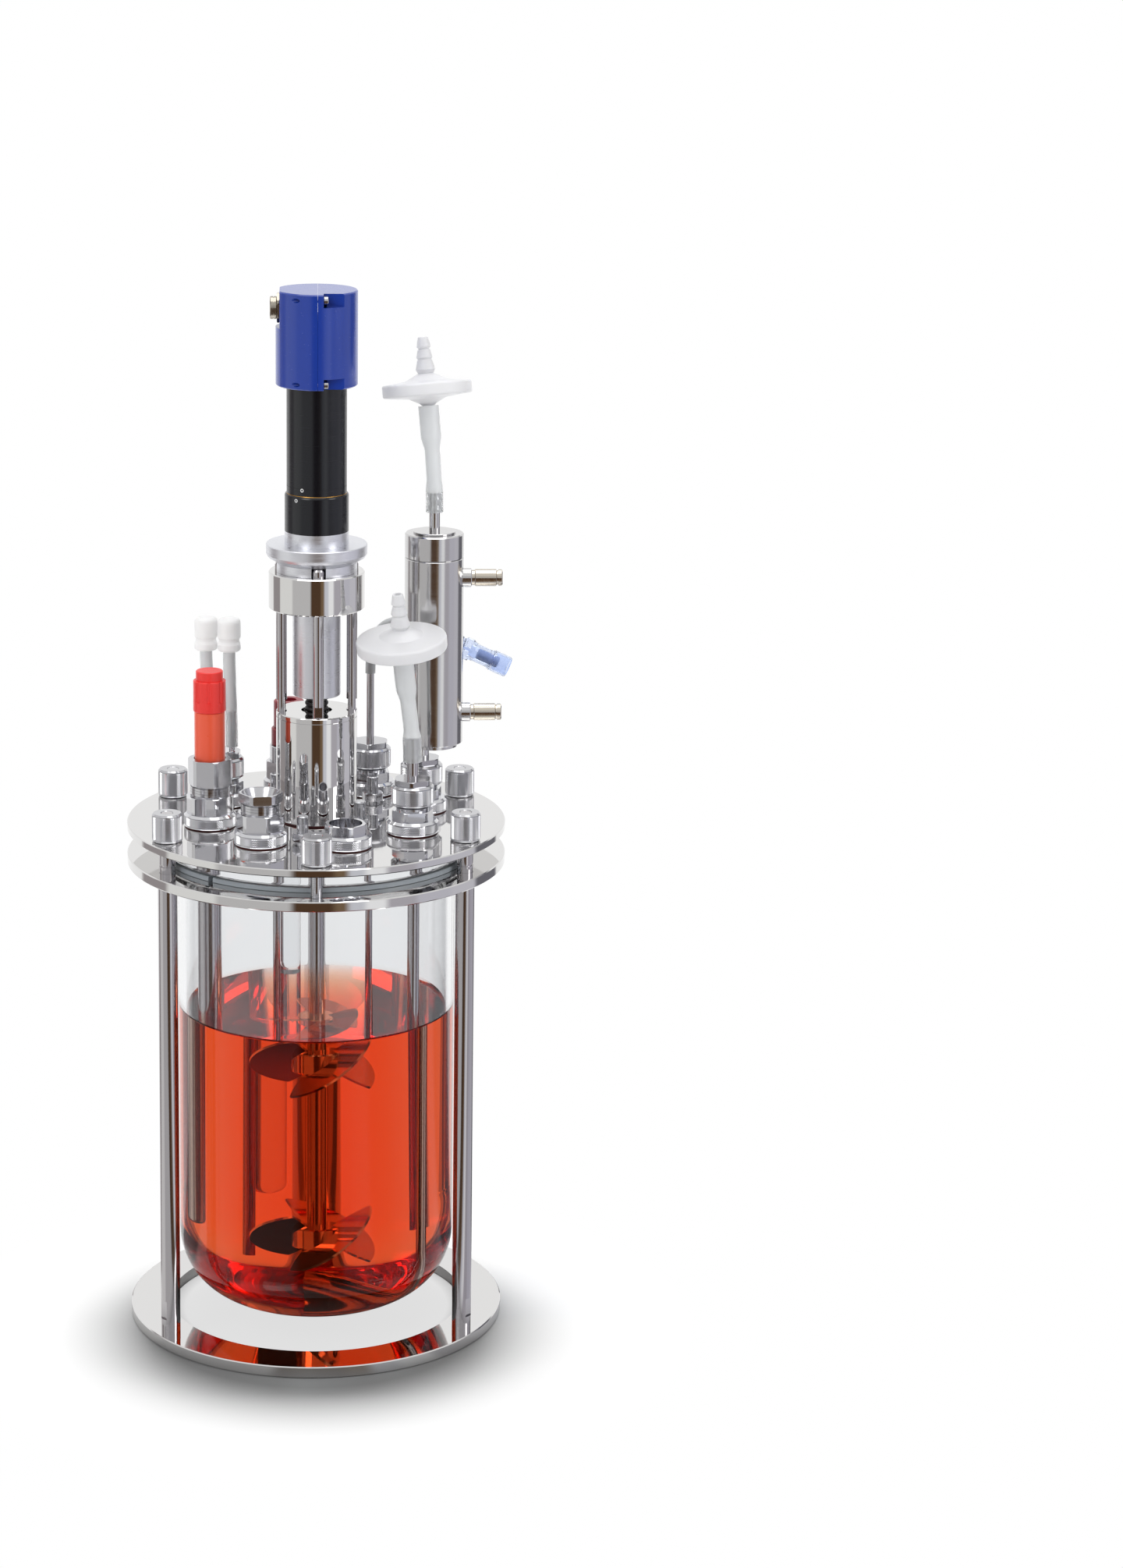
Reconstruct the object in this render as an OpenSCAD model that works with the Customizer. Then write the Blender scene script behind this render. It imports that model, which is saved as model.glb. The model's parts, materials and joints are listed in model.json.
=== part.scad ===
// Bench bioreactor: a round-bottomed glass vessel hung in a three-legged steel stand, closed by a
// clamped head plate that carries the ports, an exhaust condenser, sterile vent filters and a
// geared stirrer motor on a four-rod tower. The origin is on the vessel's axis at the bench.

/* [Vessel] */
// Outer diameter of the glass body
vessel_od = 145; // [135:1:180]
// Glass wall thickness
vessel_wall = 4; // [3:0.5:5]
// Outer radius of the rounded bottom corner
vessel_corner = 36; // [28:1:44]
// Height of the glass from its bottom to the ground face of its flange
vessel_h = 254.5; // [240:0.5:320]
// Gap between the bench and the bottom of the glass
vessel_lift = 11; // [9:0.5:20]
// Width that the glass flange stands out from the body
glass_flange_w = 8.5; // [7:0.5:10]
// Thickness of the glass flange
glass_flange_t = 8.6; // [6:0.1:12]
// Depth of the culture medium above the inside of the bottom
medium_depth = 155; // [145:1:190]

/* [Stand] */
// Diameter of the three legs
leg_d = 10; // [8:0.5:12]
// Gap between the glass body and a leg
leg_gap = 10.5; // [9:0.5:14]
// Rim left outside the circle of legs and clamp studs
rim_w = 10.5; // [9:0.5:14]
// Thickness of the base ring
base_t = 6; // [4:0.5:10]
// Gap between the glass body and the bore of the base ring
base_bore_gap = 5; // [4:0.5:8]
// Thickness of the flange ring under the glass flange
flange_ring_t = 5.3; // [4:0.1:7]
// Gap between the glass body and the bore of the flange ring
flange_bore_gap = 2.5; // [2:0.5:3.5]
// Thickness of the split cushion under the glass flange
cushion_t = 2.6; // [2:0.1:4]
// Width of the gap in the split cushion
cushion_slot = 3; // [2:0.5:6]

/* [Head plate] */
// Thickness of the head plate
plate_t = 4; // [4:0.5:6]
// Gap that the squeezed head seal leaves between glass and plate
seal_gap = 1.5; // [1:0.1:2]
// Thread diameter of the clamp studs
stud_d = 6; // [5:0.5:8]
// Diameter of a knurled clamp nut
clamp_nut_d = 15.5; // [14:0.5:18]
// Height of a knurled clamp nut
clamp_nut_h = 15; // [12:0.5:18]

/* [Ports] */
// Distance from the inside of the glass to the circle of port centres
port_inset = 11.5; // [11.5:0.5:13]
// Diameter of a port's knurled collar
collar_d = 27; // [25:0.5:28]
// Height of a port's knurled collar
collar_h = 7; // [5:0.5:8]
// Width across flats of the hexagon on a tall port
port_hex_af = 22.3; // [21.5:0.1:23.5]
// Width across flats of the hexagon on a short port
short_hex_af = 19.6; // [19:0.1:21]
// Height of the hexagon on a short port
short_hex_h = 4.8; // [4:0.1:6]
// Height of the hexagon on a tall port
tall_hex_h = 9.2; // [8:0.1:12]
// Bore of a short port
short_bore_d = 17; // [15:0.5:17.5]
// Diameter of the probes
probe_d = 12; // [11:0.5:12.5]
// Width across flats of a probe gland
gland_af = 20.6; // [20.6:0.2:22]
// Diameter of a knurled port cap
cap_d = 22; // [20:0.5:24]

/* [Drive tower] */
// Diameter of the bearing housing and of the motor spigot
housing_d = 42; // [40:1:48]
// Height of the bearing housing above the head plate
housing_h = 58; // [50:1:70]
// Diameter of the four tower rods
rod_d = 5.6; // [5:0.1:6]
// Free length of the tower rods between housing and collar
rod_len = 54.7; // [48:0.1:70]
// Width that the clamp collar stands out from the housing's side
collar_rim = 3.8; // [2:0.1:6]
// Height of the clamp collar
tower_collar_h = 19.4; // [16:0.2:24]
// Diameter of the coupling sleeve
sleeve_d = 24.8; // [22:0.2:26]
// Gap round the coupling sleeve inside the clamp collar
sleeve_gap = 1.6; // [1:0.1:2]

/* [Motor] */
// Width that the motor flange stands out from the housing's side
flange_rim = 5.1; // [3:0.1:7]
// Diameter of the gearhead
gearhead_d = 33; // [31.4:0.2:35]
// Length of the gearhead
gearhead_len = 19.8; // [16:0.2:26]
// Diameter of the motor barrel
barrel_d = 31; // [28:0.2:31]
// Free length of the motor barrel between gearhead and cover
barrel_len = 56; // [45:1:70]
// Diameter of the motor cover
cover_d = 42; // [41:0.5:46]
// Height of the motor cover
cover_h = 49; // [44:1:56]

/* [Stirrer] */
// Diameter of the stirrer shaft
shaft_d = 8; // [7:0.5:8]
// Outer diameter of an impeller
impeller_d = 52; // [46:1:56]
// Pitch of the impeller blades from the horizontal
blade_pitch = 40; // [30:1:45]
// Thickness of an impeller blade
blade_t = 1.3; // [1:0.1:2]
// Diameter of an impeller hub
hub_d = 20; // [18:0.5:22]
// Height of an impeller hub
hub_h = 11; // [10:0.5:13]
// Height of the lower impeller's centre above the inside of the bottom
impeller_low = 32.5; // [31:0.5:36]
// Distance between the two impellers
impeller_step = 96.5; // [80:0.5:100]

/* [Pipes and probes] */
// Height of the probe tips above the inside of the bottom
probe_tip = 41; // [36:1:60]
// Outer diameter of the gas pipe and sparger
gas_pipe_d = 6; // [5:0.5:6.5]
// Height of the sparger's level arm above the inside of the bottom
sparger_rise = 8.5; // [7:0.5:9]
// Outer diameter of the sample pipe and the dip tube
thin_pipe_d = 4; // [3:0.5:5]

/* [Condenser] */
// Diameter of the condenser
condenser_d = 30.7; // [28:0.1:32]
// Height of the condenser body
condenser_h = 98.6; // [90:0.2:120]
// Outward shift of the condenser from its port's centre
condenser_shift = 6; // [4:0.5:7]

/* [Hidden] */
$fn = 96;

// Clearances: a turning fit, a fixed round fit, and the play under a turning face
run = 0.05;
fit = 0.1;
play = 0.1;
eps = 0.01;
edge = 0.5;

// Radii that follow from the vessel
vessel_r = vessel_od / 2;
vessel_ir = vessel_r - vessel_wall;
fixing_r = vessel_r + leg_gap + leg_d / 2;
stand_r = fixing_r + rim_w;
flange_bore_r = vessel_r + flange_bore_gap;
glass_flange_r = vessel_r + glass_flange_w;
port_r = vessel_ir - port_inset;

// Depth of a knurl below its outer diameter
knurl_depth = 0.35;
// Depth of the visible screw threads, fine and coarse
thread_depth = 0.5;
neck_depth = 0.6;

// Levels from the bench upwards
floor_z = vessel_lift + vessel_wall;
glass_top = vessel_lift + vessel_h;
cushion_top = glass_top - glass_flange_t;
ring_top = cushion_top - cushion_t;
ring_z = ring_top - flange_ring_t;
plate_z = glass_top + seal_gap;
plate_top = plate_z + plate_t;
medium_top = floor_z + medium_depth;

// Angles of the fixings and of the ports, counted from +X
leg_angles = [210, 330, 90];
stud_angles = [270, 30, 150];
oxygen_at = 195;
spare_at = 240;
open_at = 285;
gas_at = 330;
condenser_at = 15;
sample_at = 60;
ph_at = 105;
feed_at = 150;
tall_angles = [oxygen_at, spare_at, ph_at];
short_angles = [open_at, gas_at, condenser_at, sample_at, feed_at];

// How far each port's hexagon is turned
tall_turns = [-14, -11, 10];
short_turns = [45, 11, 20, 35, 5];

// Diameter of the bar that a hexagon is milled from, over its width across flats
hex_bar = 1.1;

// Plugs that stand on the head plate: angle and share of the way from housing to port circle
plug_r = 3;
plug_places = [[261.5, 0.77], [317.4, 0.26], [45, 0.58], [121, 0.58]];
plug_rise = 14.4;
plug_nut_af = 10;
plug_nut_h = 5.7;
plug_ring_h = 1.2;

// Seals and ports
seal_t = 0.5;
seat_r = 10.6;
port_stem_r = 9.4;
collar_z = plate_top + seal_t;
hex_z = collar_z + collar_h;
short_top = hex_z + short_hex_h;
tall_top = hex_z + tall_hex_h;
thread_r = 10.2;
gland_z = tall_top + 5.8;
gland_h = 13.7;
gland_top = gland_z + gland_h;
spare_gland_top = gland_z + 4.8;
gland_depth = 6;
probe_bore_r = probe_d / 2 + fit;
mouth_r = 8.3;
funnel_h = 6;
cap_z = short_top + 2;
cap_grip = 11.4;
cap_hex_h = 3;
cap_hex_af = cap_d - 4.2;
cap_top = cap_z + cap_grip + cap_hex_h;
cap_shank_r = short_bore_d / 2 - run;
insert_r = 6.6;

// Drive tower and motor
housing_r = housing_d / 2;
tower_collar_r = housing_r + collar_rim;
motor_flange_r = housing_r + flange_rim;
housing_z = plate_top + 0.8;
housing_top = plate_top + housing_h;
spigot_r = 14;
spigot_depth = 9;
bearing_r = 11;
bearing_w = 7;
bearing_low = plate_top + 2;
bearing_high = housing_top - 16;
seal_r = 9;
bellows_pocket_r = 8;
rod_ring = housing_r - rod_d / 2;
rod_turn = 2.7;
rod_z = housing_top + rod_len;
tower_top = rod_z + tower_collar_h;
dome_r = 3.4;
dome_h = 4.9;
flange_z = tower_top + 5.1;
flange_band_z = flange_z + 4.2;
flange_top = flange_band_z + 5.2;
gearhead_z = flange_top + 6.7;
barrel_z = gearhead_z + gearhead_len;
cover_z = barrel_z + barrel_len;
cover_top = cover_z + cover_h;
cover_wall_r = cover_d / 2 - 4.5;
cover_seam = 0.5;
seam_gap = 0.1;
flat_x = cover_d / 2 - 2.1;
flat_h = 19;
screw_y = cover_d / 2 - 3;
screw_r = 1.15;
screw_head_r = 2.1;
screw_levels = [cover_top - 3.3, cover_z + 2.7];
pocket_x = cover_seam + 3;
sleeve_z = housing_top + 8.3;
sleeve_h = tower_top - 1.5 - sleeve_z;
shaft_r = shaft_d / 2;
shaft_top = sleeve_z + 10;
motor_shaft_r = 3;

// Stirrer
impeller_r = impeller_d / 2;
lower_z = floor_z + impeller_low;
upper_z = lower_z + impeller_step;
hub_r = hub_d / 2;
shaft_end = 15.5;
grub_r = 2;
grub_at = 330;
sweep_gap = 1;
sweep_h = (impeller_r * sin(blade_pitch) + blade_t + sweep_gap) * 2;

// Pipes
gas_r = gas_pipe_d / 2;
thin_r = thin_pipe_d / 2;
pipe_wall = 0.7;
arm_z = floor_z + sparger_rise;
bend_r = 14;
arm_past = 4;
gas_pipe_top = cap_top + 21;
sample_top = cap_top + 42;
dip_end = floor_z + 11;
sample_end = floor_z + 19;
feed_pipe_r = 1.6;
feed_offset = 4.8;
feed_top = cap_top + 22;

// Condenser
condenser_r = condenser_d / 2;
condenser_z = cap_top + 8.7;
condenser_top = condenser_z + condenser_h;
condenser_lip = 2.1;
condenser_cap_h = 13;
stem_r = 4;
exhaust_r = 2.85;
lid_top = condenser_top + condenser_cap_h;
exhaust_top = lid_top + 22;
boss_r = 5;
boss_len = 4.1;
fitting_r = 4.5;
fitting_len = 13.1;
ring_travel = 0.8;
ring_bore_r = 3.05;
nozzle_high = condenser_top - 11;
nozzle_low = condenser_z + 15.6;

// Hoses and what they carry; every hose is one cubic curve with round control points
hose_wall = 1.2;
hose_sides = 12;
hose_steps = 12;
filter_r = 23.2;
filter_half = 3.4;
barb_len = 27;

function on_circle(r, a, z = 0) = [r * cos(a), r * sin(a), z];
function port_at(a, z = 0) = on_circle(port_r, a, z);
function plug_at(p, z = 0) = on_circle(housing_r + p[1] * (port_r - housing_r), p[0], z);
function condenser_axis(z = 0) = port_at(condenser_at, z) + [condenser_shift, 0, 0];

// Tilted parts: where they stand and the angles that they lean by
gas_filter_at = port_at(gas_at, cap_top + 72) + [-6, -3.7, 0];
gas_filter_lean = [8, -5, 0];
exhaust_filter_at = condenser_axis(lid_top + 74.6) + [-4.2, 4.5, 0];
exhaust_filter_lean = [-9.7, -4.9, 0];
valve_at = port_at(sample_at, cap_top + 52.6) + [46, 0, 0];
valve_lean = [0, 115, 0];
feed_cap_z = cap_top + 59.4;
feed_cap_places = [[-8.6, 1.5], [3.6, -1.5]];

function lean_axis(a) = [sin(a[1]) * cos(a[0]), -sin(a[0]), cos(a[1]) * cos(a[0])];
function filter_foot(at, lean, along) = at - along * lean_axis(lean);

gas_hose = [
    port_at(gas_at, cap_top + 9),
    port_at(gas_at, cap_top + 30),
    filter_foot(gas_filter_at, gas_filter_lean, 34),
    filter_foot(gas_filter_at, gas_filter_lean, 8.6)
];
exhaust_hose = [
    condenser_axis(lid_top + 11),
    condenser_axis(lid_top + 32),
    filter_foot(exhaust_filter_at, exhaust_filter_lean, 34),
    filter_foot(exhaust_filter_at, exhaust_filter_lean, 8.6)
];
sample_hose = [
    port_at(sample_at, sample_top - 5),
    port_at(sample_at, sample_top + 34) + [0, 0, 0],
    valve_at - 30 * lean_axis(valve_lean) + [0, 0, 2],
    valve_at - 0.6 * lean_axis(valve_lean)
];
function feed_hose(i) = [
    port_at(feed_at, cap_top + 2.4) + [(2 * i - 1) * feed_offset, 0, 0],
    port_at(feed_at, cap_top + 30) + [(2 * i - 1) * feed_offset, 0, 0],
    port_at(feed_at, feed_cap_z - 24) + concat(feed_cap_places[i], 0),
    port_at(feed_at, feed_cap_z - 5.4) + concat(feed_cap_places[i], 0)
];

// ---------- shared shapes ----------

// A turned ring between two radii, with small chamfers on its outer edges
module turned_ring(r_in, r_out, z0, z1, c = edge)
    rotate_extrude()
        polygon([
            [r_in, z0], [r_out - c, z0], [r_out, z0 + c], [r_out, z1 - c], [r_out - c, z1], [r_in, z1]
        ]);

module disc(r, z0, z1)
    translate([0, 0, z0]) cylinder(r = r, h = z1 - z0);

// A hexagonal prism milled from round bar, so that its corners stay round
module hexagon(af, z0, z1, turn = 0)
    intersection() {
        rotate([0, 0, turn]) translate([0, 0, z0]) cylinder(r = af / sqrt(3), h = z1 - z0, $fn = 6);
        turned_ring(0, af / 2 * hex_bar, z0, z1, 0.4);
    }

module at_angles(r, angles)
    for (a = angles) rotate([0, 0, a]) translate([r, 0, 0]) children();

// A radial profile of the vessel's inside or outside, from the axis out
module vessel_profile(r, z0, corner, z1) {
    translate([0, z0 + corner]) square([r, z1 - z0 - corner]);
    translate([0, z0]) square([r - corner, corner]);
    translate([r - corner, z0 + corner]) intersection() {
        circle(corner);
        translate([0, -corner]) square(corner);
    }
}

function bezier(p, t) =
    pow(1 - t, 3) * p[0] + 3 * t * pow(1 - t, 2) * p[1] + 3 * t * t * (1 - t) * p[2] + pow(t, 3) * p[3];
function unit(v) = v / norm(v);
function tangent(path, i) = unit(path[min(i + 1, len(path) - 1)] - path[max(i - 1, 0)]);
function hoop(c, t, r) =
    let (v = unit([0, 1, 0] - t * t[1]), u = cross(v, t))
    [for (j = [0:hose_sides - 1]) c + r * (cos(j * 360 / hose_sides) * u + sin(j * 360 / hose_sides) * v)];

// Outer radius of a hose along its length: swollen over the fitting at each end
function swell(t, mid, first, last) =
    mid + (first - mid) * max(0, 1 - pow(t / 0.3, 2)) + (last - mid) * max(0, 1 - pow((1 - t) / 0.42, 2));

// A hollow hose along a cubic curve
module hose(curve, mid, first, last, wall = hose_wall) {
    path = [for (i = [0:hose_steps]) bezier(curve, i / hose_steps)];
    radii = [for (i = [0:hose_steps]) swell(i / hose_steps, mid, first, last)];
    n = hose_sides;
    inner = n * len(path);
    skin = [for (i = [0:hose_steps]) each hoop(path[i], tangent(path, i), radii[i])];
    bore = [for (i = [0:hose_steps]) each hoop(path[i], tangent(path, i), radii[i] - wall)];
    faces = [
        for (j = [0:n - 1]) let (k = (j + 1) % n, e = n * hose_steps) each [
            for (i = [0:hose_steps - 1]) let (a = i * n, b = a + n) each [
                [a + j, b + j, b + k], [a + j, b + k, a + k],
                [inner + a + j, inner + a + k, inner + b + k], [inner + a + j, inner + b + k, inner + b + j]
            ],
            [j, k, inner + k], [j, inner + k, inner + j],
            [e + j, inner + e + j, inner + e + k], [e + j, inner + e + k, e + k]
        ]
    ];
    polyhedron(concat(skin, bore), faces);
}

// ---------- stand ----------

module base_ring()
    color("silver") difference() {
        turned_ring(vessel_r + base_bore_gap, stand_r, 0, base_t);
        at_angles(fixing_r, leg_angles) disc(stud_d / 2, -eps, base_t + eps);
    }

// One leg: threaded foot, rod with two wrench flats, shoulder post and threaded top
module leg() {
    flat_w = leg_d * 0.8;
    difference() {
        rotate_extrude() polygon([
            [0, edge], [stud_d / 2 - fit, edge], [stud_d / 2 - fit, base_t], [leg_d / 2, base_t],
            [leg_d / 2, ring_z], [leg_d / 2 - 0.8, ring_z], [leg_d / 2 - 0.8, ring_top + 3.4],
            [leg_d / 2 - 1.4, ring_top + 3.4], [leg_d / 2 - 1.4, ring_top + 4.6],
            [leg_d / 2 - 0.8, ring_top + 4.6], [leg_d / 2 - 0.8, plate_z], [stud_d / 2, plate_z],
            [stud_d / 2, plate_top + clamp_nut_h - 0.4], [stud_d / 2 - 0.2, plate_top + clamp_nut_h - 0.2],
            [0, plate_top + clamp_nut_h - 0.2]
        ]);
        for (side = [0, 180]) rotate([0, 0, side])
            translate([flat_w / 2, -leg_d, base_t + 6]) cube([leg_d, leg_d * 2, 10]);
    }
}

module legs()
    color("silver") at_angles(fixing_r, leg_angles) leg();

module flange_ring()
    color("silver") difference() {
        turned_ring(flange_bore_r, stand_r, ring_z, ring_top);
        at_angles(fixing_r, leg_angles) disc(leg_d / 2 - 0.8 + fit, ring_z - eps, ring_top + eps);
        at_angles(fixing_r, stud_angles) disc(stud_d / 2 + fit, ring_z - eps, ring_top + eps);
    }

// ---------- vessel ----------

module vessel()
    color("lightcyan", 0.3) rotate_extrude() difference() {
        union() {
            vessel_profile(vessel_r, vessel_lift, vessel_corner, glass_top);
            translate([vessel_r - edge, cushion_top]) square([glass_flange_w + edge - 2, glass_flange_t]);
            translate([glass_flange_r - 2, cushion_top + 2]) square([2, glass_flange_t - 4]);
            for (z = [cushion_top + 2, glass_top - 2]) translate([glass_flange_r - 2, z]) circle(2);
        }
        vessel_profile(vessel_ir, floor_z, vessel_corner - vessel_wall, glass_top + 1);
    }

// The medium, kept clear of the stirrer's sweep and of what stands in it
module culture_medium()
    color("orangered", 0.6) difference() {
        rotate_extrude()
            vessel_profile(vessel_ir - fit, floor_z + fit, vessel_corner - vessel_wall - fit, medium_top);
        disc(shaft_r + sweep_gap, lower_z - shaft_end - 1, medium_top + 1);
        for (z = [lower_z, upper_z])
            disc(impeller_r + sweep_gap, z - sweep_h / 2, z + sweep_h / 2);
        for (a = [oxygen_at, ph_at])
            translate(port_at(a)) disc(probe_d / 2 + fit, floor_z + probe_tip - fit, medium_top + 1);
        translate(port_at(sample_at)) disc(thin_r + fit, sample_end - fit, medium_top + 1);
        translate(plug_at(plug_places[3])) disc(thin_r + fit, dip_end - fit, medium_top + 1);
        sparger_line(gas_r + fit, medium_top + 1, fit);
    }

module split_cushion()
    color("slategray") difference() {
        turned_ring(flange_bore_r - 1, glass_flange_r + 1, ring_top, cushion_top, 0.3);
        rotate([0, 0, 229]) translate([0, -cushion_slot / 2, ring_top - 1])
            cube([stand_r, cushion_slot, cushion_t + 2]);
    }

// ---------- head plate and clamps ----------

seal_mid_r = vessel_r + 3.5;

module head_plate()
    color("silver") difference() {
        turned_ring(spigot_r + fit, stand_r, plate_z, plate_top);
        turned_ring(seal_mid_r - 2 - fit, seal_mid_r + 2 + fit, plate_z - eps, plate_z + 2.3, 0);
        at_angles(port_r, concat(tall_angles, short_angles))
            disc(port_stem_r + fit, plate_z - eps, plate_top + eps);
        at_angles(fixing_r, concat(leg_angles, stud_angles))
            disc(stud_d / 2 + 0.3, plate_z - eps, plate_top + eps);
        for (p = plug_places) translate(plug_at(p)) disc(plug_r + run, plate_z - eps, plate_top + eps);
    }

// The plain core under the visible thread of a stud, between two levels
module thread_relief(r, z0, z1, depth)
    translate([0, 0, z0]) difference() {
        cylinder(r = r + 1, h = z1 - z0);
        translate([0, 0, -1]) cylinder(r = r - depth, h = z1 - z0 + 2);
    }

module clamp_studs()
    color("silver") at_angles(fixing_r, stud_angles) difference() {
        turned_ring(0, stud_d / 2, ring_z + edge, plate_top + clamp_nut_h - 0.2, 0.2);
        thread_relief(stud_d / 2, ring_top + 0.3, plate_z - 0.3, thread_depth);
    }

module clamp_nut(i) {
    angle = 30 + 60 * i;
    lip = stud_d / 2 + 0.35;
    color("gainsboro") translate(on_circle(fixing_r, angle)) rotate_extrude() polygon([
        [stud_d / 2 + run, plate_top + play], [clamp_nut_d / 2 - 0.6, plate_top + play],
        [clamp_nut_d / 2, plate_top + 0.6 + play], [clamp_nut_d / 2, plate_top + 0.8 + play],
        [clamp_nut_d / 2 - knurl_depth, plate_top + 1.1 + play],
        [clamp_nut_d / 2 - knurl_depth, plate_top + clamp_nut_h - 1.3],
        [clamp_nut_d / 2, plate_top + clamp_nut_h - 1], [clamp_nut_d / 2, plate_top + clamp_nut_h - 0.8],
        [clamp_nut_d / 2 - 0.8, plate_top + clamp_nut_h], [lip, plate_top + clamp_nut_h],
        [stud_d / 2 + run, plate_top + clamp_nut_h - 0.3]
    ]);
}

// Threaded plugs with lock nuts that stand on narrow rings
module plate_plugs()
    color("silver") for (p = plug_places) translate(plug_at(p)) {
        difference() {
            turned_ring(0, plug_r, plate_z, plate_top + plug_rise);
            thread_relief(plug_r, plate_top + plug_nut_h + 0.3, plate_top + plug_rise - 0.8, thread_depth);
        }
        difference() {
            union() {
                disc(4, plate_top, plate_top + plug_ring_h);
                hexagon(plug_nut_af, plate_top + plug_ring_h - eps, plate_top + plug_nut_h, p[0]);
            }
            disc(plug_r + run, plate_top - 1, plate_top + plug_nut_h + 1);
        }
    }

// Round seals: the squeezed one between glass and plate, one under each port collar, and one
// under the bearing housing
module seals()
    color("darkred") {
        rotate_extrude() translate([seal_mid_r - 2, glass_top]) square([4, seal_gap + 2.2]);
        at_angles(port_r, concat(tall_angles, short_angles))
            turned_ring(seat_r + fit, collar_d / 2 - 0.4, plate_top, collar_z, 0.15);
        turned_ring(spigot_r + 4 + fit, housing_r - 0.3, plate_top, housing_z, 0.2);
    }

// ---------- drive tower ----------

module bearing_housing()
    color("silver") difference() {
        rotate_extrude() polygon([
            [shaft_r + 0.6, plate_top - spigot_depth], [spigot_r - edge, plate_top - spigot_depth],
            [spigot_r, plate_top - spigot_depth + edge], [spigot_r, plate_top],
            [spigot_r + 4, plate_top], [spigot_r + 4, housing_z], [housing_r - 0.2, housing_z],
            [housing_r, housing_z + 0.2], [housing_r, housing_top - 3],
            [housing_r - 0.5, housing_top - 3], [housing_r - 0.5, housing_top - 2.5],
            [housing_r, housing_top - 2.5], [housing_r, housing_top - edge],
            [housing_r - edge, housing_top], [bellows_pocket_r, housing_top],
            [bellows_pocket_r, housing_top - 9], [bearing_r + fit, housing_top - 9],
            [bearing_r + fit, bearing_high], [bearing_r - 1.5, bearing_high],
            [bearing_r - 1.5, bearing_low + bearing_w], [bearing_r + fit, bearing_low + bearing_w],
            [bearing_r + fit, bearing_low], [seal_r + fit, bearing_low],
            [seal_r + fit, plate_top - spigot_depth + 1.5],
            [shaft_r + 0.6, plate_top - spigot_depth + 1.5]
        ]);
        rotate([0, 0, rod_turn]) at_angles(rod_ring, [0, 90, 180, 270])
            disc(1.8 + fit, housing_top - 8, housing_top + 1);
    }

// Two ball bearings, closed by shields, and the shaft's lip seal
module shaft_bearings()
    color("dimgray") {
        for (z = [bearing_low, bearing_high]) turned_ring(shaft_r + run, bearing_r, z, z + bearing_w, 0.4);
        turned_ring(shaft_r + run, seal_r, plate_top - spigot_depth + 1.5, bearing_low - 0.5, 0.3);
    }

module stirrer_shaft()
    color("silver") turned_ring(0, shaft_r, lower_z - shaft_end, shaft_top, 0.8);

// A leaf blade: a disc cut back by a larger one, with its tips on the blade's long axis
module leaf_blade() {
    root_r = impeller_r * 1.55;
    rotate([blade_pitch, 0, 0]) translate([0, 0, -blade_t / 2]) linear_extrude(blade_t) intersection() {
        circle(impeller_r);
        translate([root_r + impeller_r * 0.08, 0]) circle(root_r);
    }
}

module grub_screw()
    rotate([0, 0, grub_at]) rotate([0, 90, 0]) difference() {
        turned_ring(0, grub_r - fit, shaft_r + fit, hub_r - 1, 0.3);
        translate([0, 0, hub_r - 3]) cylinder(r = 1.15, h = 4, $fn = 6);
    }

module impeller(z)
    color("silver") translate([0, 0, z]) {
        impeller_body();
        grub_screw();
    }

module impeller_body()
    difference() {
        union() {
            turned_ring(0, hub_r, -hub_h / 2, hub_h / 2, 0.6);
            for (a = [60, 180, 300]) rotate([0, 0, a]) leaf_blade();
        }
        disc(shaft_r + run / 2, -impeller_r, impeller_r);
        rotate([0, 0, grub_at]) rotate([0, 90, 0]) disc(grub_r, 0, impeller_r);
    }

module impeller_upper() impeller(upper_z);
module impeller_lower() impeller(lower_z);

// Ribbed rubber bellows round the shaft, under the coupling sleeve
module shaft_bellows() {
    rib = 2.95;
    ribs = 5;
    z0 = sleeve_z - rib * ribs;
    color("black") rotate_extrude() {
        translate([shaft_r + run, z0]) square([1, rib * ribs]);
        for (i = [0:ribs - 1]) translate([shaft_r + 0.65, z0 + rib * (i + 0.5)]) intersection() {
            circle(1.42);
            translate([0, -2]) square(4);
        }
    }
}

module coupling_sleeve()
    color("lightgray") difference() {
        turned_ring(0, sleeve_d / 2, sleeve_z, sleeve_z + sleeve_h);
        disc(shaft_r + run / 2, sleeve_z - 1, shaft_top);
        disc(motor_shaft_r + run / 2, sleeve_z + sleeve_h - 20, sleeve_z + sleeve_h + 1);
    }

module motor_shaft()
    color("silver") turned_ring(0, motor_shaft_r, sleeve_z + sleeve_h - 20, gearhead_z + 6, 0.4);

// Rods with wrench flats, screwed into the housing, and the dome nuts on their upper ends
module tower_rods()
    color("silver") rotate([0, 0, rod_turn]) at_angles(rod_ring, [0, 90, 180, 270]) {
        difference() {
            rotate_extrude() polygon([
                [0, housing_top - 7.5], [1.8, housing_top - 7.5], [1.8, housing_top],
                [rod_d / 2, housing_top], [rod_d / 2, tower_top], [0, tower_top]
            ]);
            for (side = [0, 180]) rotate([0, 0, side])
                translate([rod_d * 0.36, -rod_d, housing_top + 0.4]) cube([rod_d, rod_d * 2, 5.6]);
        }
        rotate_extrude() polygon([
            [0, tower_top], [dome_r, tower_top], [dome_r, tower_top + dome_h - 1.6],
            [dome_r - 0.5, tower_top + dome_h - 0.5], [dome_r - 1.6, tower_top + dome_h],
            [0, tower_top + dome_h]
        ]);
    }

module tower_collar()
    color("silver") difference() {
        turned_ring(sleeve_d / 2 + sleeve_gap, tower_collar_r, rod_z, tower_top, 0.6);
        rotate([0, 0, rod_turn]) at_angles(rod_ring, [0, 90, 180, 270])
            disc(rod_d / 2 + fit, rod_z - 1, tower_top + 1);
    }

// ---------- motor ----------

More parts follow.
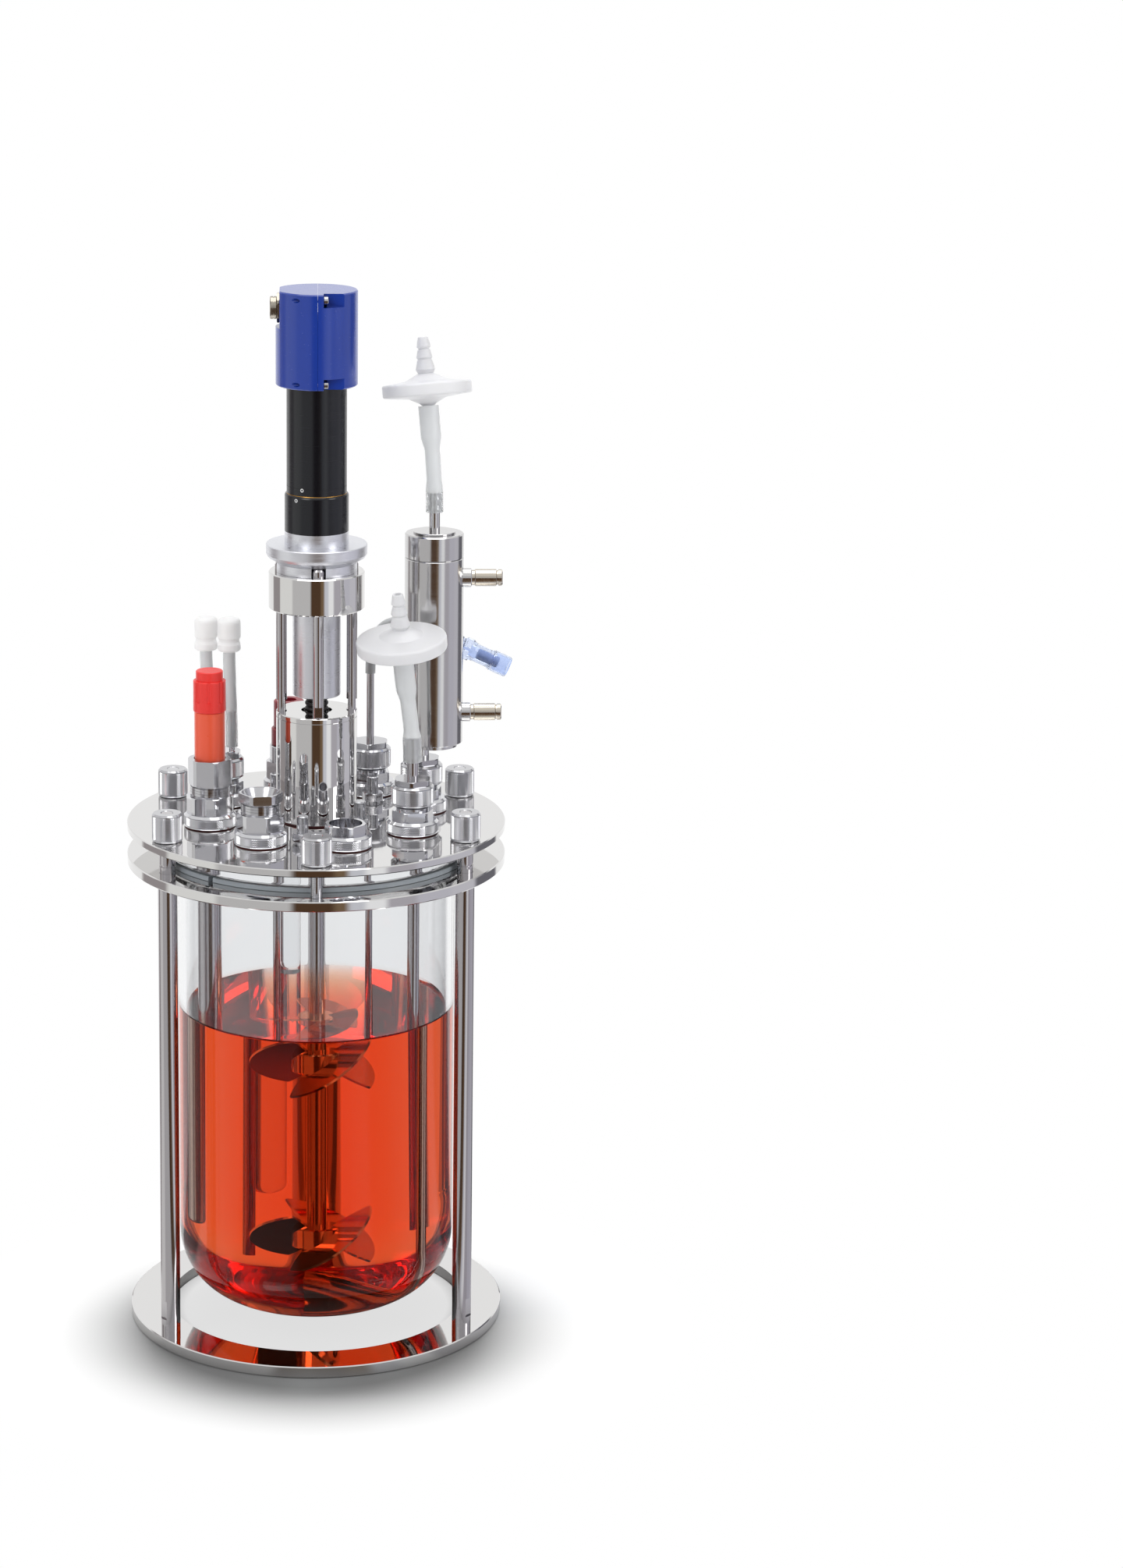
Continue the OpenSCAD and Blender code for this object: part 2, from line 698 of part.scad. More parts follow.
module motor_spigot()
    color("silver") difference() {
        turned_ring(sleeve_d / 2 + sleeve_gap, housing_r, tower_top, flange_z, 0.2);
        rotate([0, 0, rod_turn]) at_angles(rod_ring, [0, 90, 180, 270])
            union() {
                disc(dome_r + 0.3, tower_top - 1, flange_z + 1);
                translate([0, -dome_r - 0.3, tower_top - 1])
                    cube([housing_r, 2 * dome_r + 0.6, flange_z - tower_top + 2]);
            }
    }

module motor_flange()
    color("lightgray") difference() {
        rotate_extrude() polygon([
            [motor_shaft_r + 1, flange_z], [housing_r + 0.2, flange_z], [housing_r + 1, flange_z + 0.7],
            [motor_flange_r - 1, flange_band_z - 1.6], [motor_flange_r, flange_band_z],
            [motor_flange_r, flange_top - 0.4], [motor_flange_r - 0.4, flange_top],
            [gearhead_d / 2, flange_top], [gearhead_d / 2, gearhead_z], [motor_shaft_r + 1, gearhead_z]
        ]);
        at_angles(gearhead_d / 2 + 3.4, [45, 135, 225, 315]) disc(0.9, flange_top - 4, flange_top + 1);
    }

module gearhead()
    color("black") difference() {
        rotate_extrude() polygon([
            [0, gearhead_z], [gearhead_d / 2, gearhead_z], [gearhead_d / 2, barrel_z - 1.1],
            [gearhead_d / 2 - 0.2, barrel_z - 0.5], [gearhead_d / 2 - 0.6, barrel_z], [0, barrel_z]
        ]);
        disc(motor_shaft_r + run, gearhead_z - 1, gearhead_z + 8);
    }

module motor_barrel()
    color("black") difference() {
        turned_ring(0, barrel_d / 2, barrel_z, cover_top - 14, 0.3);
        turned_ring(barrel_d / 2 - 0.15, barrel_d, barrel_z + 4, barrel_z + 4.3, 0);
    }

// The whole cover, before it is split down its seam
module cover_shell()
    difference() {
        turned_ring(0, cover_d / 2, cover_z, cover_top, 0.6);
        disc(barrel_d / 2 + fit, cover_z - 1, cover_top - 14 + fit);
        disc(cover_wall_r, cover_z + 4, cover_top - 3);
        translate([-flat_x - cover_d, -cover_d, cover_top - flat_h])
            cube([cover_d, cover_d * 2, flat_h + 1]);
        translate([0, 0, cover_top - flat_h / 2]) rotate([0, -90, 0]) disc(5, 0, cover_d);
        for (z = screw_levels)
            translate([0, -screw_y, z]) rotate([0, -90, 0]) disc(screw_r, -pocket_x - 1, cover_d);
        translate([pocket_x, -cover_d, cover_top - 6.7]) cube([cover_d, cover_d / 2 + 5.3, 8]);
        translate([pocket_x, -cover_d, cover_z - 1]) cube([cover_d, cover_d / 2 + 5.3, 6.7]);
    }

module motor_cover_left()
    color("royalblue") intersection() {
        cover_shell();
        translate([-cover_d + cover_seam - seam_gap / 2, -cover_d, cover_z - 1])
            cube([cover_d, cover_d * 2, cover_h + 2]);
    }

module motor_cover_right()
    color("royalblue") intersection() {
        cover_shell();
        translate([cover_seam + seam_gap / 2, -cover_d, cover_z - 1])
            cube([cover_d, cover_d * 2, cover_h + 2]);
    }

// Socket-head screws that draw the two halves of the cover together
module cover_screws()
    color("silver") for (z = screw_levels)
        translate([pocket_x, -screw_y, z]) rotate([0, 90, 0]) difference() {
            union() {
                disc(screw_r - fit, -11, eps);
                turned_ring(0, screw_head_r, 0, 2.4, 0.3);
            }
            translate([0, 0, 1.1]) cylinder(r = 1.15, h = 2, $fn = 6);
        }

module motor_socket()
    color("silver") translate([-flat_x, 0, cover_top - flat_h / 2]) rotate([0, -90, 0]) difference() {
        union() {
            turned_ring(0, 5 - fit, -2.2, 0, 0.2);
            hexagon(14, 0, 1.4);
            turned_ring(0, 5.85, 1.4 - eps, 4.9, 0.4);
        }
        disc(4.6, 1.6, 6);
        turned_ring(5.5, 7, 2.9, 3.2, 0);
    }

// ---------- ports ----------

// The foot of every port: stem through the plate, seat, and knurled collar
function port_foot(bore) = [
    [bore, plate_z], [port_stem_r, plate_z], [port_stem_r, plate_top], [seat_r, plate_top],
    [seat_r, collar_z], [collar_d / 2 - 0.3, collar_z], [collar_d / 2, collar_z + 0.3],
    [collar_d / 2, collar_z + 0.4], [collar_d / 2 - knurl_depth, collar_z + 0.7],
    [collar_d / 2 - knurl_depth, hex_z - 1.7], [collar_d / 2, hex_z - 1.4],
    [collar_d / 2, hex_z - 1.2], [collar_d / 2 - 1.2, hex_z], [bore, hex_z]
];

module tall_port(turn) {
    seat = tall_top - gland_depth - 0.5;
    difference() {
        union() {
            rotate_extrude() polygon(port_foot(probe_bore_r));
            hexagon(port_hex_af, hex_z - eps, tall_top, turn);
        }
        disc(probe_bore_r, plate_z - 1, tall_top + 1);
        disc(thread_r + run, seat, tall_top + 1);
    }
}

module tall_ports()
    color("silver") for (i = [0:len(tall_angles) - 1])
        translate(port_at(tall_angles[i])) tall_port(tall_turns[i]);

module short_port(turn)
    difference() {
        union() {
            rotate_extrude() polygon(port_foot(short_bore_d / 2));
            hexagon(short_hex_af, hex_z - eps, short_top, turn);
        }
        disc(short_bore_d / 2, plate_z - 1, short_top + 1);
    }

module short_ports()
    color("silver") for (i = [0:len(short_angles) - 1])
        translate(port_at(short_angles[i])) short_port(short_turns[i]);

// A probe gland: threaded shank and hexagon with a funnel that ends in a mouth under its lip
module probe_gland(top, mouth, lip, turn)
    difference() {
        union() {
            turned_ring(0, thread_r, tall_top - gland_depth, gland_z + eps, 0.4);
            hexagon(gland_af, gland_z, top, turn);
        }
        thread_relief(thread_r, tall_top + 0.3, gland_z - 0.3, neck_depth);
        disc(probe_bore_r, tall_top - gland_depth - 1, top + 1);
        translate([0, 0, top - funnel_h - 1.5])
            cylinder(r1 = probe_bore_r, r2 = mouth, h = funnel_h + 1.5 - lip);
        disc(mouth, top - lip - eps, top + 1);
    }

module probe_glands()
    color("silver") {
        translate(port_at(oxygen_at)) probe_gland(gland_top, mouth_r, 1.5, -12);
        translate(port_at(spare_at)) probe_gland(spare_gland_top, gland_af / 2 - 0.6, 0.2, 6);
        translate(port_at(ph_at))
            turned_ring(probe_bore_r, thread_r, tall_top - gland_depth, gland_z + 2.8, 0.4);
    }

// A knurled screw cap for a short port, bored for what passes through it
module port_cap(angle, bore_r)
    color("gainsboro") translate(port_at(angle)) difference() {
        union() {
            turned_ring(0, cap_shank_r, plate_top + 4, cap_z + eps, 0.4);
            rotate_extrude() polygon([
                [0, cap_z], [cap_d / 2 - 1.4, cap_z], [cap_d / 2, cap_z + 1.2],
                [cap_d / 2, cap_z + 1.4], [cap_d / 2 - knurl_depth, cap_z + 1.7],
                [cap_d / 2 - knurl_depth, cap_z + cap_grip - 1.5],
                [cap_d / 2, cap_z + cap_grip - 1.2], [cap_d / 2, cap_z + cap_grip - 1],
                [cap_d / 2 - 1, cap_z + cap_grip], [0, cap_z + cap_grip]
            ]);
            hexagon(cap_hex_af, cap_z + cap_grip - eps, cap_top, 25);
        }
        disc(bore_r + run, plate_top, cap_top + 1);
    }

module cap_gas() port_cap(gas_at, gas_r);
module cap_condenser() port_cap(condenser_at, stem_r);
module cap_sample() port_cap(sample_at, thin_r);
module cap_feed() port_cap(feed_at, insert_r);

// ---------- probes ----------

module oxygen_probe()
    color("silver") translate(port_at(oxygen_at)) rotate_extrude() {
        translate([0, floor_z + probe_tip]) square([probe_d / 2 - 2, 4]);
        translate([0, floor_z + probe_tip + 2]) square([probe_d / 2, gland_top - 3 - floor_z - probe_tip]);
        translate([probe_d / 2 - 2, floor_z + probe_tip + 2]) circle(2);
    }

module probe_sleeve()
    color("tomato") translate(port_at(oxygen_at))
        turned_ring(0, mouth_r - 0.4, gland_top - 1, gland_top + 25, 0.3);

// A moulded cap: ribbed skirt and a plain top
module probe_cap() {
    z0 = gland_top + 25;
    skirt_r = mouth_r + 0.1;
    color("crimson") translate(port_at(oxygen_at)) difference() {
        rotate_extrude() polygon([
            [0, z0], [skirt_r - 0.4, z0], [skirt_r, z0 + 0.4], [skirt_r, z0 + 16],
            [skirt_r - 0.4, z0 + 16.4], [skirt_r - 1.4, z0 + 16.4], [skirt_r - 1.4, z0 + 21],
            [skirt_r - 1.8, z0 + 21.4], [0, z0 + 21.4]
        ]);
        at_angles(skirt_r + 0.9, [0:45:315]) disc(1.5, z0 + 5.4, z0 + 16.4 + eps);
    }
}

module ph_probe()
    color("azure", 0.4) translate(port_at(ph_at)) rotate_extrude() {
        intersection() {
            translate([0, floor_z + probe_tip + probe_d / 2]) circle(probe_d / 2);
            translate([0, floor_z]) square([probe_d, probe_tip + probe_d / 2]);
        }
        translate([0, floor_z + probe_tip + probe_d / 2 - eps])
            square([probe_d / 2, gland_z - floor_z - probe_tip - probe_d / 2]);
    }

module ph_head()
    color("maroon") translate(port_at(ph_at)) difference() {
        union() {
            turned_ring(0, 9.3, gland_z + 2.8, gland_z + 12.2, 0.5);
            turned_ring(0, 8.1, gland_z + 12.2 - eps, gland_z + 27.3, 0.8);
        }
        disc(4, gland_z + 20, gland_z + 28);
    }

// ---------- pipes ----------

// The sparger's path as a solid of one radius: down from z_top, round a bend, and in to the axis
module sparger_line(r, z_top, past = 0)
    rotate([0, 0, gas_at]) {
        translate([port_r, 0, 0]) disc(r, arm_z + bend_r, z_top);
        translate([port_r - bend_r, 0, arm_z + bend_r]) rotate([90, 0, 0]) intersection() {
            rotate_extrude() translate([bend_r, 0]) circle(r);
            translate([0, -bend_r - r - 1, -r - 1]) cube([bend_r + r + 1, bend_r + r + 1, 2 * r + 2]);
        }
        translate([port_r - bend_r, 0, arm_z]) rotate([0, -90, 0])
            disc(r, -eps, port_r - bend_r + arm_past + past);
    }

// A short barb that holds a hose on the end of a pipe
module hose_olive(r, z)
    translate([0, 0, z]) cylinder(r1 = r, r2 = r - 0.5, h = 3);

module sparger()
    color("silver") difference() {
        union() {
            sparger_line(gas_r, gas_pipe_top);
            translate(port_at(gas_at)) for (z = [11, 16]) hose_olive(gas_r + 0.5, cap_top + z);
        }
        sparger_line(gas_r - pipe_wall, gas_pipe_top + 1, 1);
    }

module thin_pipe(z0, z1)
    difference() {
        disc(thin_r, z0, z1);
        disc(thin_r - pipe_wall, z0 - 1, z1 + 1);
    }

module sample_pipe()
    color("silver") translate(port_at(sample_at)) thin_pipe(sample_end, sample_top);

module dip_tube()
    color("silver") translate(plug_at(plug_places[3])) thin_pipe(dip_end, plate_z);

// Two feed pipes in one insert
module feed_pipes()
    color("silver") translate(port_at(feed_at)) difference() {
        union() {
            turned_ring(0, insert_r, plate_top + 4, cap_top + 0.5, 0.3);
            for (side = [-1, 1]) translate([side * feed_offset, 0, 0])
                disc(feed_pipe_r, plate_z - 12, feed_top);
        }
        for (side = [-1, 1]) translate([side * feed_offset, 0, 0])
            disc(feed_pipe_r - 0.6, plate_z - 13, feed_top + 1);
    }

// ---------- condenser ----------

module condenser()
    color("silver") difference() {
        union() {
            translate(port_at(condenser_at)) disc(stem_r, plate_z - 4, condenser_z - condenser_lip + eps);
            translate(condenser_axis()) {
                disc(condenser_r - 2.6, condenser_z - condenser_lip, condenser_z + eps);
                turned_ring(0, condenser_r, condenser_z, condenser_top, 0.3);
                for (z = [nozzle_low, nozzle_high]) translate([condenser_r - 2, 0, z]) rotate([0, 90, 0])
                    turned_ring(0, boss_r, 0, boss_len + 2, 0.4);
            }
        }
        translate(port_at(condenser_at)) disc(stem_r - 1, plate_z - 5, condenser_z + 3);
        translate(condenser_axis()) {
            disc(condenser_r - 1.6, condenser_z + 2, condenser_top + 1);
            for (z = [nozzle_low, nozzle_high]) translate([0, 0, z]) rotate([0, 90, 0])
                disc(2, condenser_r - 3, condenser_r + boss_len + 1);
        }
    }

module condenser_cap()
    color("silver") translate(condenser_axis()) difference() {
        union() {
            turned_ring(0, condenser_r, condenser_top, lid_top, 0.6);
            disc(condenser_r - 1.6 - fit, condenser_top - 5, condenser_top + 1);
            turned_ring(0, 11, lid_top - eps, lid_top + 1, 0.2);
            disc(exhaust_r, lid_top, exhaust_top);
            for (z = [12.5, 17.5]) hose_olive(exhaust_r + 0.4, lid_top + z);
        }
        disc(exhaust_r - pipe_wall, condenser_top - 6, exhaust_top + 1);
    }

// Where a coolant fitting starts, on the face of its boss
function fitting_at(z) = condenser_axis(z) + [condenser_r + boss_len, 0, 0];

// Push-in fittings: neck, body and the socket for the release ring
module coolant_fittings()
    color("burlywood") for (z = [nozzle_low, nozzle_high]) translate(fitting_at(z)) rotate([0, 90, 0])
        difference() {
            union() {
                disc(fitting_r - 0.5, 0, 1.6);
                turned_ring(0, fitting_r, 1.6 - eps, fitting_len, 0.4);
            }
            disc(2, -1, fitting_len);
            disc(3.8, 4, fitting_len + 1);
        }

module release_ring(z)
    color("burlywood") translate(fitting_at(z)) rotate([0, 90, 0]) rotate_extrude() polygon([
        [ring_bore_r, fitting_len - 6], [3.8 - run, fitting_len - 6],
        [3.8 - run, fitting_len + ring_travel], [fitting_r - 0.15, fitting_len + ring_travel],
        [fitting_r - 0.15, fitting_len + ring_travel + 1.7],
        [fitting_r - 0.6, fitting_len + ring_travel + 2.2],
        [ring_bore_r, fitting_len + ring_travel + 2.2]
    ]);

module release_ring_upper() release_ring(nozzle_high);
module release_ring_lower() release_ring(nozzle_low);

// ---------- hoses, filters and caps ----------

module silicone_hoses()
    color("whitesmoke", 0.6) {
        hose(gas_hose, 3.5, 4.95, 5.3);
        hose(exhaust_hose, 3.65, 4.8, 5.3);
        hose(sample_hose, 2.4, 2.7, 2.5, 0.75);
        for (i = [0, 1]) hose(feed_hose(i), 3.1, 3.2, 3.3);
    }

// A disc filter: shallow cones to both sides, an open barb above and a finer one for the hose
module vent_filter()
    difference() {
        rotate_extrude() polygon([
            [0, barb_len], [2.4, barb_len], [2.75, barb_len - 0.4], [3.65, 21.9], [2.7, 20.8], [3.3, 20.2],
            [4.2, 16.4], [3.5, 15.4], [4, 14.6], [5.1, 10.2], [3.95, 8.2], [11.3, 4.6],
            [filter_r - 1.1, filter_half], [filter_r - 0.5, filter_half - 0.2],
            [filter_r - 0.15, filter_half - 0.6], [filter_r, filter_half - 1.1],
            [filter_r, 1.1 - filter_half], [filter_r - 0.15, 0.6 - filter_half],
            [filter_r - 0.5, 0.2 - filter_half], [filter_r - 1.1, -filter_half], [9.5, -4.8],
            [4.4, -7.4], [3, -8.6], [3, -10], [3.7, -10.2], [3, -15], [3.7, -15.2], [2.6, -22],
            [0, -22]
        ]);
        for (side = [0, 180]) rotate([side, 0, 0]) disc(1.7, 5, barb_len + 1);
    }

module vent_filters()
    color("white") {
        translate(gas_filter_at) rotate(gas_filter_lean) vent_filter();
        translate(exhaust_filter_at) rotate(exhaust_filter_lean) vent_filter();
    }

// A clear needle-free valve with a hose tail at its lower end and an open female mouth
module sample_valve()
    color("mediumpurple", 0.5) translate(valve_at) rotate(valve_lean) difference() {
        rotate_extrude() polygon([
            [0, -7], [1.6, -7], [1.8, -6.4], [1.8, 0], [4.6, 0], [5.3, 0.7], [5.3, 1.8], [4.9, 2.4],
            [4.9, 3.2], [5.9, 4.2], [5.9, 8], [5.2, 9.4], [4.8, 11], [4.8, 18.4], [5.2, 19.6],
            [5.2, 20.2], [5.6, 20.6], [5.6, 29.2], [5.2, 30], [0, 30]
        ]);
        disc(3, 7, 22);
        disc(4.6, 21.5, 31);
        disc(0.8, -8, 8);
    }

// Where the piston stands between the floor of its bore and the valve's mouth
piston_z = 12;

module valve_piston()
    color("deepskyblue") translate(valve_at) rotate(valve_lean)
        turned_ring(0, 3 - run, piston_z, piston_z + 12, 0.4);

// Caps on the ends of the feed hoses
module feed_caps()
    color("whitesmoke") for (place = feed_cap_places)
        translate(port_at(feed_at, feed_cap_z) + concat(place, 0)) rotate_extrude() polygon([
            [0, -10], [1.8, -10], [1.9, -4.9], [5.2, -4.9], [6, -4.1], [6, -1.3], [5.7, -0.7],
            [5.4, 0.2], [5.4, 1.4], [6, 2.4], [6, 10.4], [5.7, 11.4], [4.9, 12.2], [3.6, 12.6], [0, 12.6]
        ]);

// ---------- drawing ----------

base_ring();
legs();
flange_ring();
vessel();
culture_medium();
split_cushion();
head_plate();
clamp_studs();
clamp_nut(0);  // clamp_nut_1
clamp_nut(1);  // clamp_nut_2
clamp_nut(2);  // clamp_nut_3
clamp_nut(3);  // clamp_nut_4
clamp_nut(4);  // clamp_nut_5
clamp_nut(5);  // clamp_nut_6
plate_plugs();
seals();
bearing_housing();
shaft_bearings();
stirrer_shaft();
impeller_upper();
impeller_lower();
shaft_bellows();
coupling_sleeve();
motor_shaft();
tower_rods();
tower_collar();
motor_spigot();
motor_flange();
gearhead();
motor_barrel();
motor_cover_left();
motor_cover_right();
cover_screws();
motor_socket();
tall_ports();
short_ports();
probe_glands();
cap_gas();
cap_condenser();
cap_sample();
cap_feed();
oxygen_probe();
probe_sleeve();
probe_cap();
ph_probe();
ph_head();
sparger();
sample_pipe();
dip_tube();
feed_pipes();
condenser();
condenser_cap();
coolant_fittings();
release_ring_upper();
release_ring_lower();
silicone_hoses();
vent_filters();
sample_valve();
valve_piston();
feed_caps();
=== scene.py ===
"""Finishes, knurls, threads, hoses, liquid and studio for the bench bioreactor.

The frame holds every rigid piece at its real size, in metres. This script gives each of them its
finish, cuts the knurls and screw threads that are too fine for the frame, and pours the medium.
"""

import json
import math

import bmesh
import bpy
from bpy.props import FloatProperty, FloatVectorProperty, PointerProperty, StringProperty
from mathutils import Euler, Matrix, Vector


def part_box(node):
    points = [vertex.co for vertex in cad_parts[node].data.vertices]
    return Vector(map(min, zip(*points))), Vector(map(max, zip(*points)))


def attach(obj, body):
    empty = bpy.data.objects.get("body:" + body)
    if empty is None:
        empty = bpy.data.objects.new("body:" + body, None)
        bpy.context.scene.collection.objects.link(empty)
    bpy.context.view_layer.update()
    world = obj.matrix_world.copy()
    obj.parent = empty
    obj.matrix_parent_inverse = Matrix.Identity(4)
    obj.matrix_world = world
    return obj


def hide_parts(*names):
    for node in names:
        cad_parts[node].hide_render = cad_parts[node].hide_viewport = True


bl_info = {
    "name": "Bench Bioreactor",
    "version": (1, 0, 0),
    "blender": (4, 5, 0),
    "location": "3D View > Sidebar > Bioreactor",
    "description": "Finishes and fine detail for a bench bioreactor",
    "category": "Object",
}

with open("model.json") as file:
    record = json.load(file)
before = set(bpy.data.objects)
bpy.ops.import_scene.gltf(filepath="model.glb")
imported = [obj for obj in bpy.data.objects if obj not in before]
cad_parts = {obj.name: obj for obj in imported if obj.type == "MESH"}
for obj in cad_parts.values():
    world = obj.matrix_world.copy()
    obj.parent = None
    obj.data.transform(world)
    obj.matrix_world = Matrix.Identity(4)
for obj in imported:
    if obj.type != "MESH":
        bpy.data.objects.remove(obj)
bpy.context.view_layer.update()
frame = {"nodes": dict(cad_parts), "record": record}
NODES = frame["nodes"]
MM = 0.001
STAND = "stand_and_vessel"


# ---------- measures taken from the frame ----------

def low(name):
    """The lower corner of a node's box."""
    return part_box(name)[0]


def high(name):
    """The upper corner of a node's box."""
    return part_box(name)[1]


def middle(name):
    """The vertical axis of a turned piece, at height 0."""
    a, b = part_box(name)
    return Vector(((a.x + b.x) / 2, (a.y + b.y) / 2, 0))


def mount(name):
    """The place of a mount that the record states."""
    return Vector(next(m["pos_m"] for m in frame["record"]["mounts"] if m["name"] == name))


def around(radius, degrees, height=0.0):
    """A point at a radius and an angle about the vessel's axis, all lengths in mm."""
    turn = math.radians(degrees)
    return Vector((radius * math.cos(turn), radius * math.sin(turn), height)) * MM


def leaning(about_x, about_y):
    """The axis of a piece that stood upright and was leaned about X, then about Y, in degrees."""
    a, b = math.radians(about_x), math.radians(about_y)
    return Vector((math.sin(b) * math.cos(a), -math.sin(a), math.cos(b) * math.cos(a)))


PLATE_TOP = high("head_plate").z
RING_TOP = high("flange_ring").z
NUTS = ["clamp_nut_%d" % i for i in range(1, 7)]
CAPS = ["cap_gas", "cap_condenser", "cap_sample", "cap_feed"]
SPARE = mount("spare_probe_bore")
OPEN = mount("open_port_bore")
PORTS = [middle(name) for name in CAPS + ["probe_sleeve", "ph_probe"]]
PORTS += [Vector((port.x, port.y, 0)) for port in (SPARE, OPEN)]

# the clamp studs and the plate's plugs, in degrees and in mm from the vessel's axis
STUD_ANGLES, STUD_RADIUS = (30, 150, 270), 88
PLUGS = ((261.5, 48.7), (317.4, 30.4), (45, 41.9), (121, 41.9))


# ---------- small tools ----------

def linear(code):
    """An sRGB hex colour as linear RGBA."""
    parts = [int(code.lstrip("#")[i:i + 2], 16) / 255 for i in (0, 2, 4)]
    return [c / 12.92 if c <= 0.04045 else ((c + 0.055) / 1.055) ** 2.4 for c in parts] + [1.0]


def add(tree, kind, inputs=None, **settings):
    """Adds one node, with its settings and with its inputs filled or linked."""
    node = tree.nodes.new(kind)
    for key, value in settings.items():
        setattr(node, key, value)
    for key, value in (inputs or {}).items():
        if isinstance(value, bpy.types.NodeSocket):
            tree.links.new(value, node.inputs[key])
        else:
            node.inputs[key].default_value = value
    return node


def new_material(name):
    """A material with an empty tree, and its output node."""
    made = bpy.data.materials.new(name)
    made.use_nodes = True
    made.node_tree.nodes.clear()
    return made, made.node_tree, add(made.node_tree, "ShaderNodeOutputMaterial")


def dress(name, finish):
    """Gives a node of the frame its finish."""
    mesh = NODES[name].data
    mesh.materials.clear()
    mesh.materials.append(finish)


def shape_object(name, mesh, finish, body=STAND, smooth=40):
    """A finished piece: smooth faces with sharp edges kept, riding on its body."""
    mesh.materials.clear()
    mesh.materials.append(finish)
    mesh.polygons.foreach_set("use_smooth", [True] * len(mesh.polygons))
    mesh.set_sharp_from_angle(angle=math.radians(smooth))
    piece = bpy.data.objects.new(name, mesh)
    bpy.context.scene.collection.objects.link(piece)
    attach(piece, body)
    return piece


def lathe(profile, steps=96):
    """A closed solid of revolution about a vertical axis, from (radius, height) points in metres."""
    form = bmesh.new()
    rings = []
    for radius, height in profile:
        if radius < 1e-7:
            rings.append([form.verts.new((0, 0, height))])
        else:
            rings.append([form.verts.new((radius * math.cos(2 * math.pi * k / steps),
                                          radius * math.sin(2 * math.pi * k / steps), height))
                          for k in range(steps)])
    for a, b in zip(rings, rings[1:] + rings[:1]):
        if len(a) == 1 and len(b) == 1:
            continue
        for k in range(steps):
            n = (k + 1) % steps
            corners = [a[k % len(a)], a[n % len(a)], b[n % len(b)], b[k % len(b)]]
            form.faces.new(list(dict.fromkeys(corners)))
    bmesh.ops.recalc_face_normals(form, faces=form.faces)
    mesh = bpy.data.meshes.new("turned")
    form.to_mesh(mesh)
    form.free()
    return mesh


def joined(meshes):
    """One mesh of several closed ones."""
    form = bmesh.new()
    for mesh in meshes:
        form.from_mesh(mesh)
    whole = bpy.data.meshes.new("joined")
    form.to_mesh(whole)
    form.free()
    return whole


# ---------- finishes ----------

def mirror_steel():
    """Electropolished stainless steel: a near mirror, whose long soft ripples bend straight
    reflections a little."""
    made, tree, out = new_material("electropolished stainless steel")
    place = add(tree, "ShaderNodeTexCoord").outputs["Object"]
    cloud = add(tree, "ShaderNodeTexNoise", {"Vector": place, "Scale": 1 / (14 * MM), "Detail": 2.0})
    rough = add(tree, "ShaderNodeMapRange", {"Value": cloud.outputs["Fac"], "From Min": 0.3,
                                             "From Max": 0.7, "To Min": 0.025, "To Max": 0.055})
    wave = add(tree, "ShaderNodeTexNoise", {"Vector": place, "Scale": 1 / (22 * MM), "Detail": 1.0})
    bump = add(tree, "ShaderNodeBump", {"Height": wave.outputs["Fac"], "Strength": 0.2,
                                        "Distance": 0.1 * MM})
    face = add(tree, "ShaderNodeBsdfPrincipled", {
        "Base Color": linear("#dcdbda"), "Metallic": 1.0, "Roughness": rough.outputs["Result"],
        "Normal": bump.outputs["Normal"]})
    tree.links.new(face.outputs[0], out.inputs["Surface"])
    return made


def turned_metal(name, colour, gloss, marks=0.35, axis="Z", metal=1.0):
    """Metal turned on a lathe: fine rings from the tool, drawn 0.5 mm apart so that they show,
    which streak the reflections and soften them."""
    made, tree, out = new_material(name)
    place = add(tree, "ShaderNodeTexCoord").outputs["Object"]
    feed, rest = 1 / (0.5 * MM), 1 / (17 * MM)
    stretch = (feed, rest, rest) if axis == "X" else (rest, rest, feed)
    squash = add(tree, "ShaderNodeMapping", {"Vector": place, "Scale": stretch})
    rings = add(tree, "ShaderNodeTexNoise", {"Vector": squash.outputs[0], "Scale": 1.0, "Detail": 3.0})
    rough = add(tree, "ShaderNodeMapRange", {"Value": rings.outputs["Fac"], "From Min": 0.3,
                                             "From Max": 0.7, "To Min": gloss * 0.75,
                                             "To Max": gloss * 1.25})
    bump = add(tree, "ShaderNodeBump", {"Height": rings.outputs["Fac"], "Strength": marks,
                                        "Distance": 0.03 * MM})
    face = add(tree, "ShaderNodeBsdfPrincipled", {
        "Base Color": linear(colour), "Metallic": metal, "Roughness": rough.outputs["Result"],
        "Normal": bump.outputs["Normal"]})
    tree.links.new(face.outputs[0], out.inputs["Surface"])
    return made


def drawn_steel():
    """Drawn stainless tube and bar: faint scratches along the length, which smear reflections
    up and down."""
    made, tree, out = new_material("drawn stainless steel")
    place = add(tree, "ShaderNodeTexCoord").outputs["Object"]
    squash = add(tree, "ShaderNodeMapping", {"Vector": place,
                                             "Scale": (1 / (0.6 * MM), 1 / (0.6 * MM), 1 / (60 * MM))})
    lines = add(tree, "ShaderNodeTexNoise", {"Vector": squash.outputs[0], "Scale": 1.0, "Detail": 2.0})
    rough = add(tree, "ShaderNodeMapRange", {"Value": lines.outputs["Fac"], "From Min": 0.3,
                                             "From Max": 0.7, "To Min": 0.08, "To Max": 0.16})
    bump = add(tree, "ShaderNodeBump", {"Height": lines.outputs["Fac"], "Strength": 0.3,
                                        "Distance": 0.02 * MM})
    face = add(tree, "ShaderNodeBsdfPrincipled", {
        "Base Color": linear("#bfbcbe"), "Metallic": 1.0, "Roughness": rough.outputs["Result"],
        "Normal": bump.outputs["Normal"]})
    tree.links.new(face.outputs[0], out.inputs["Surface"])
    return made


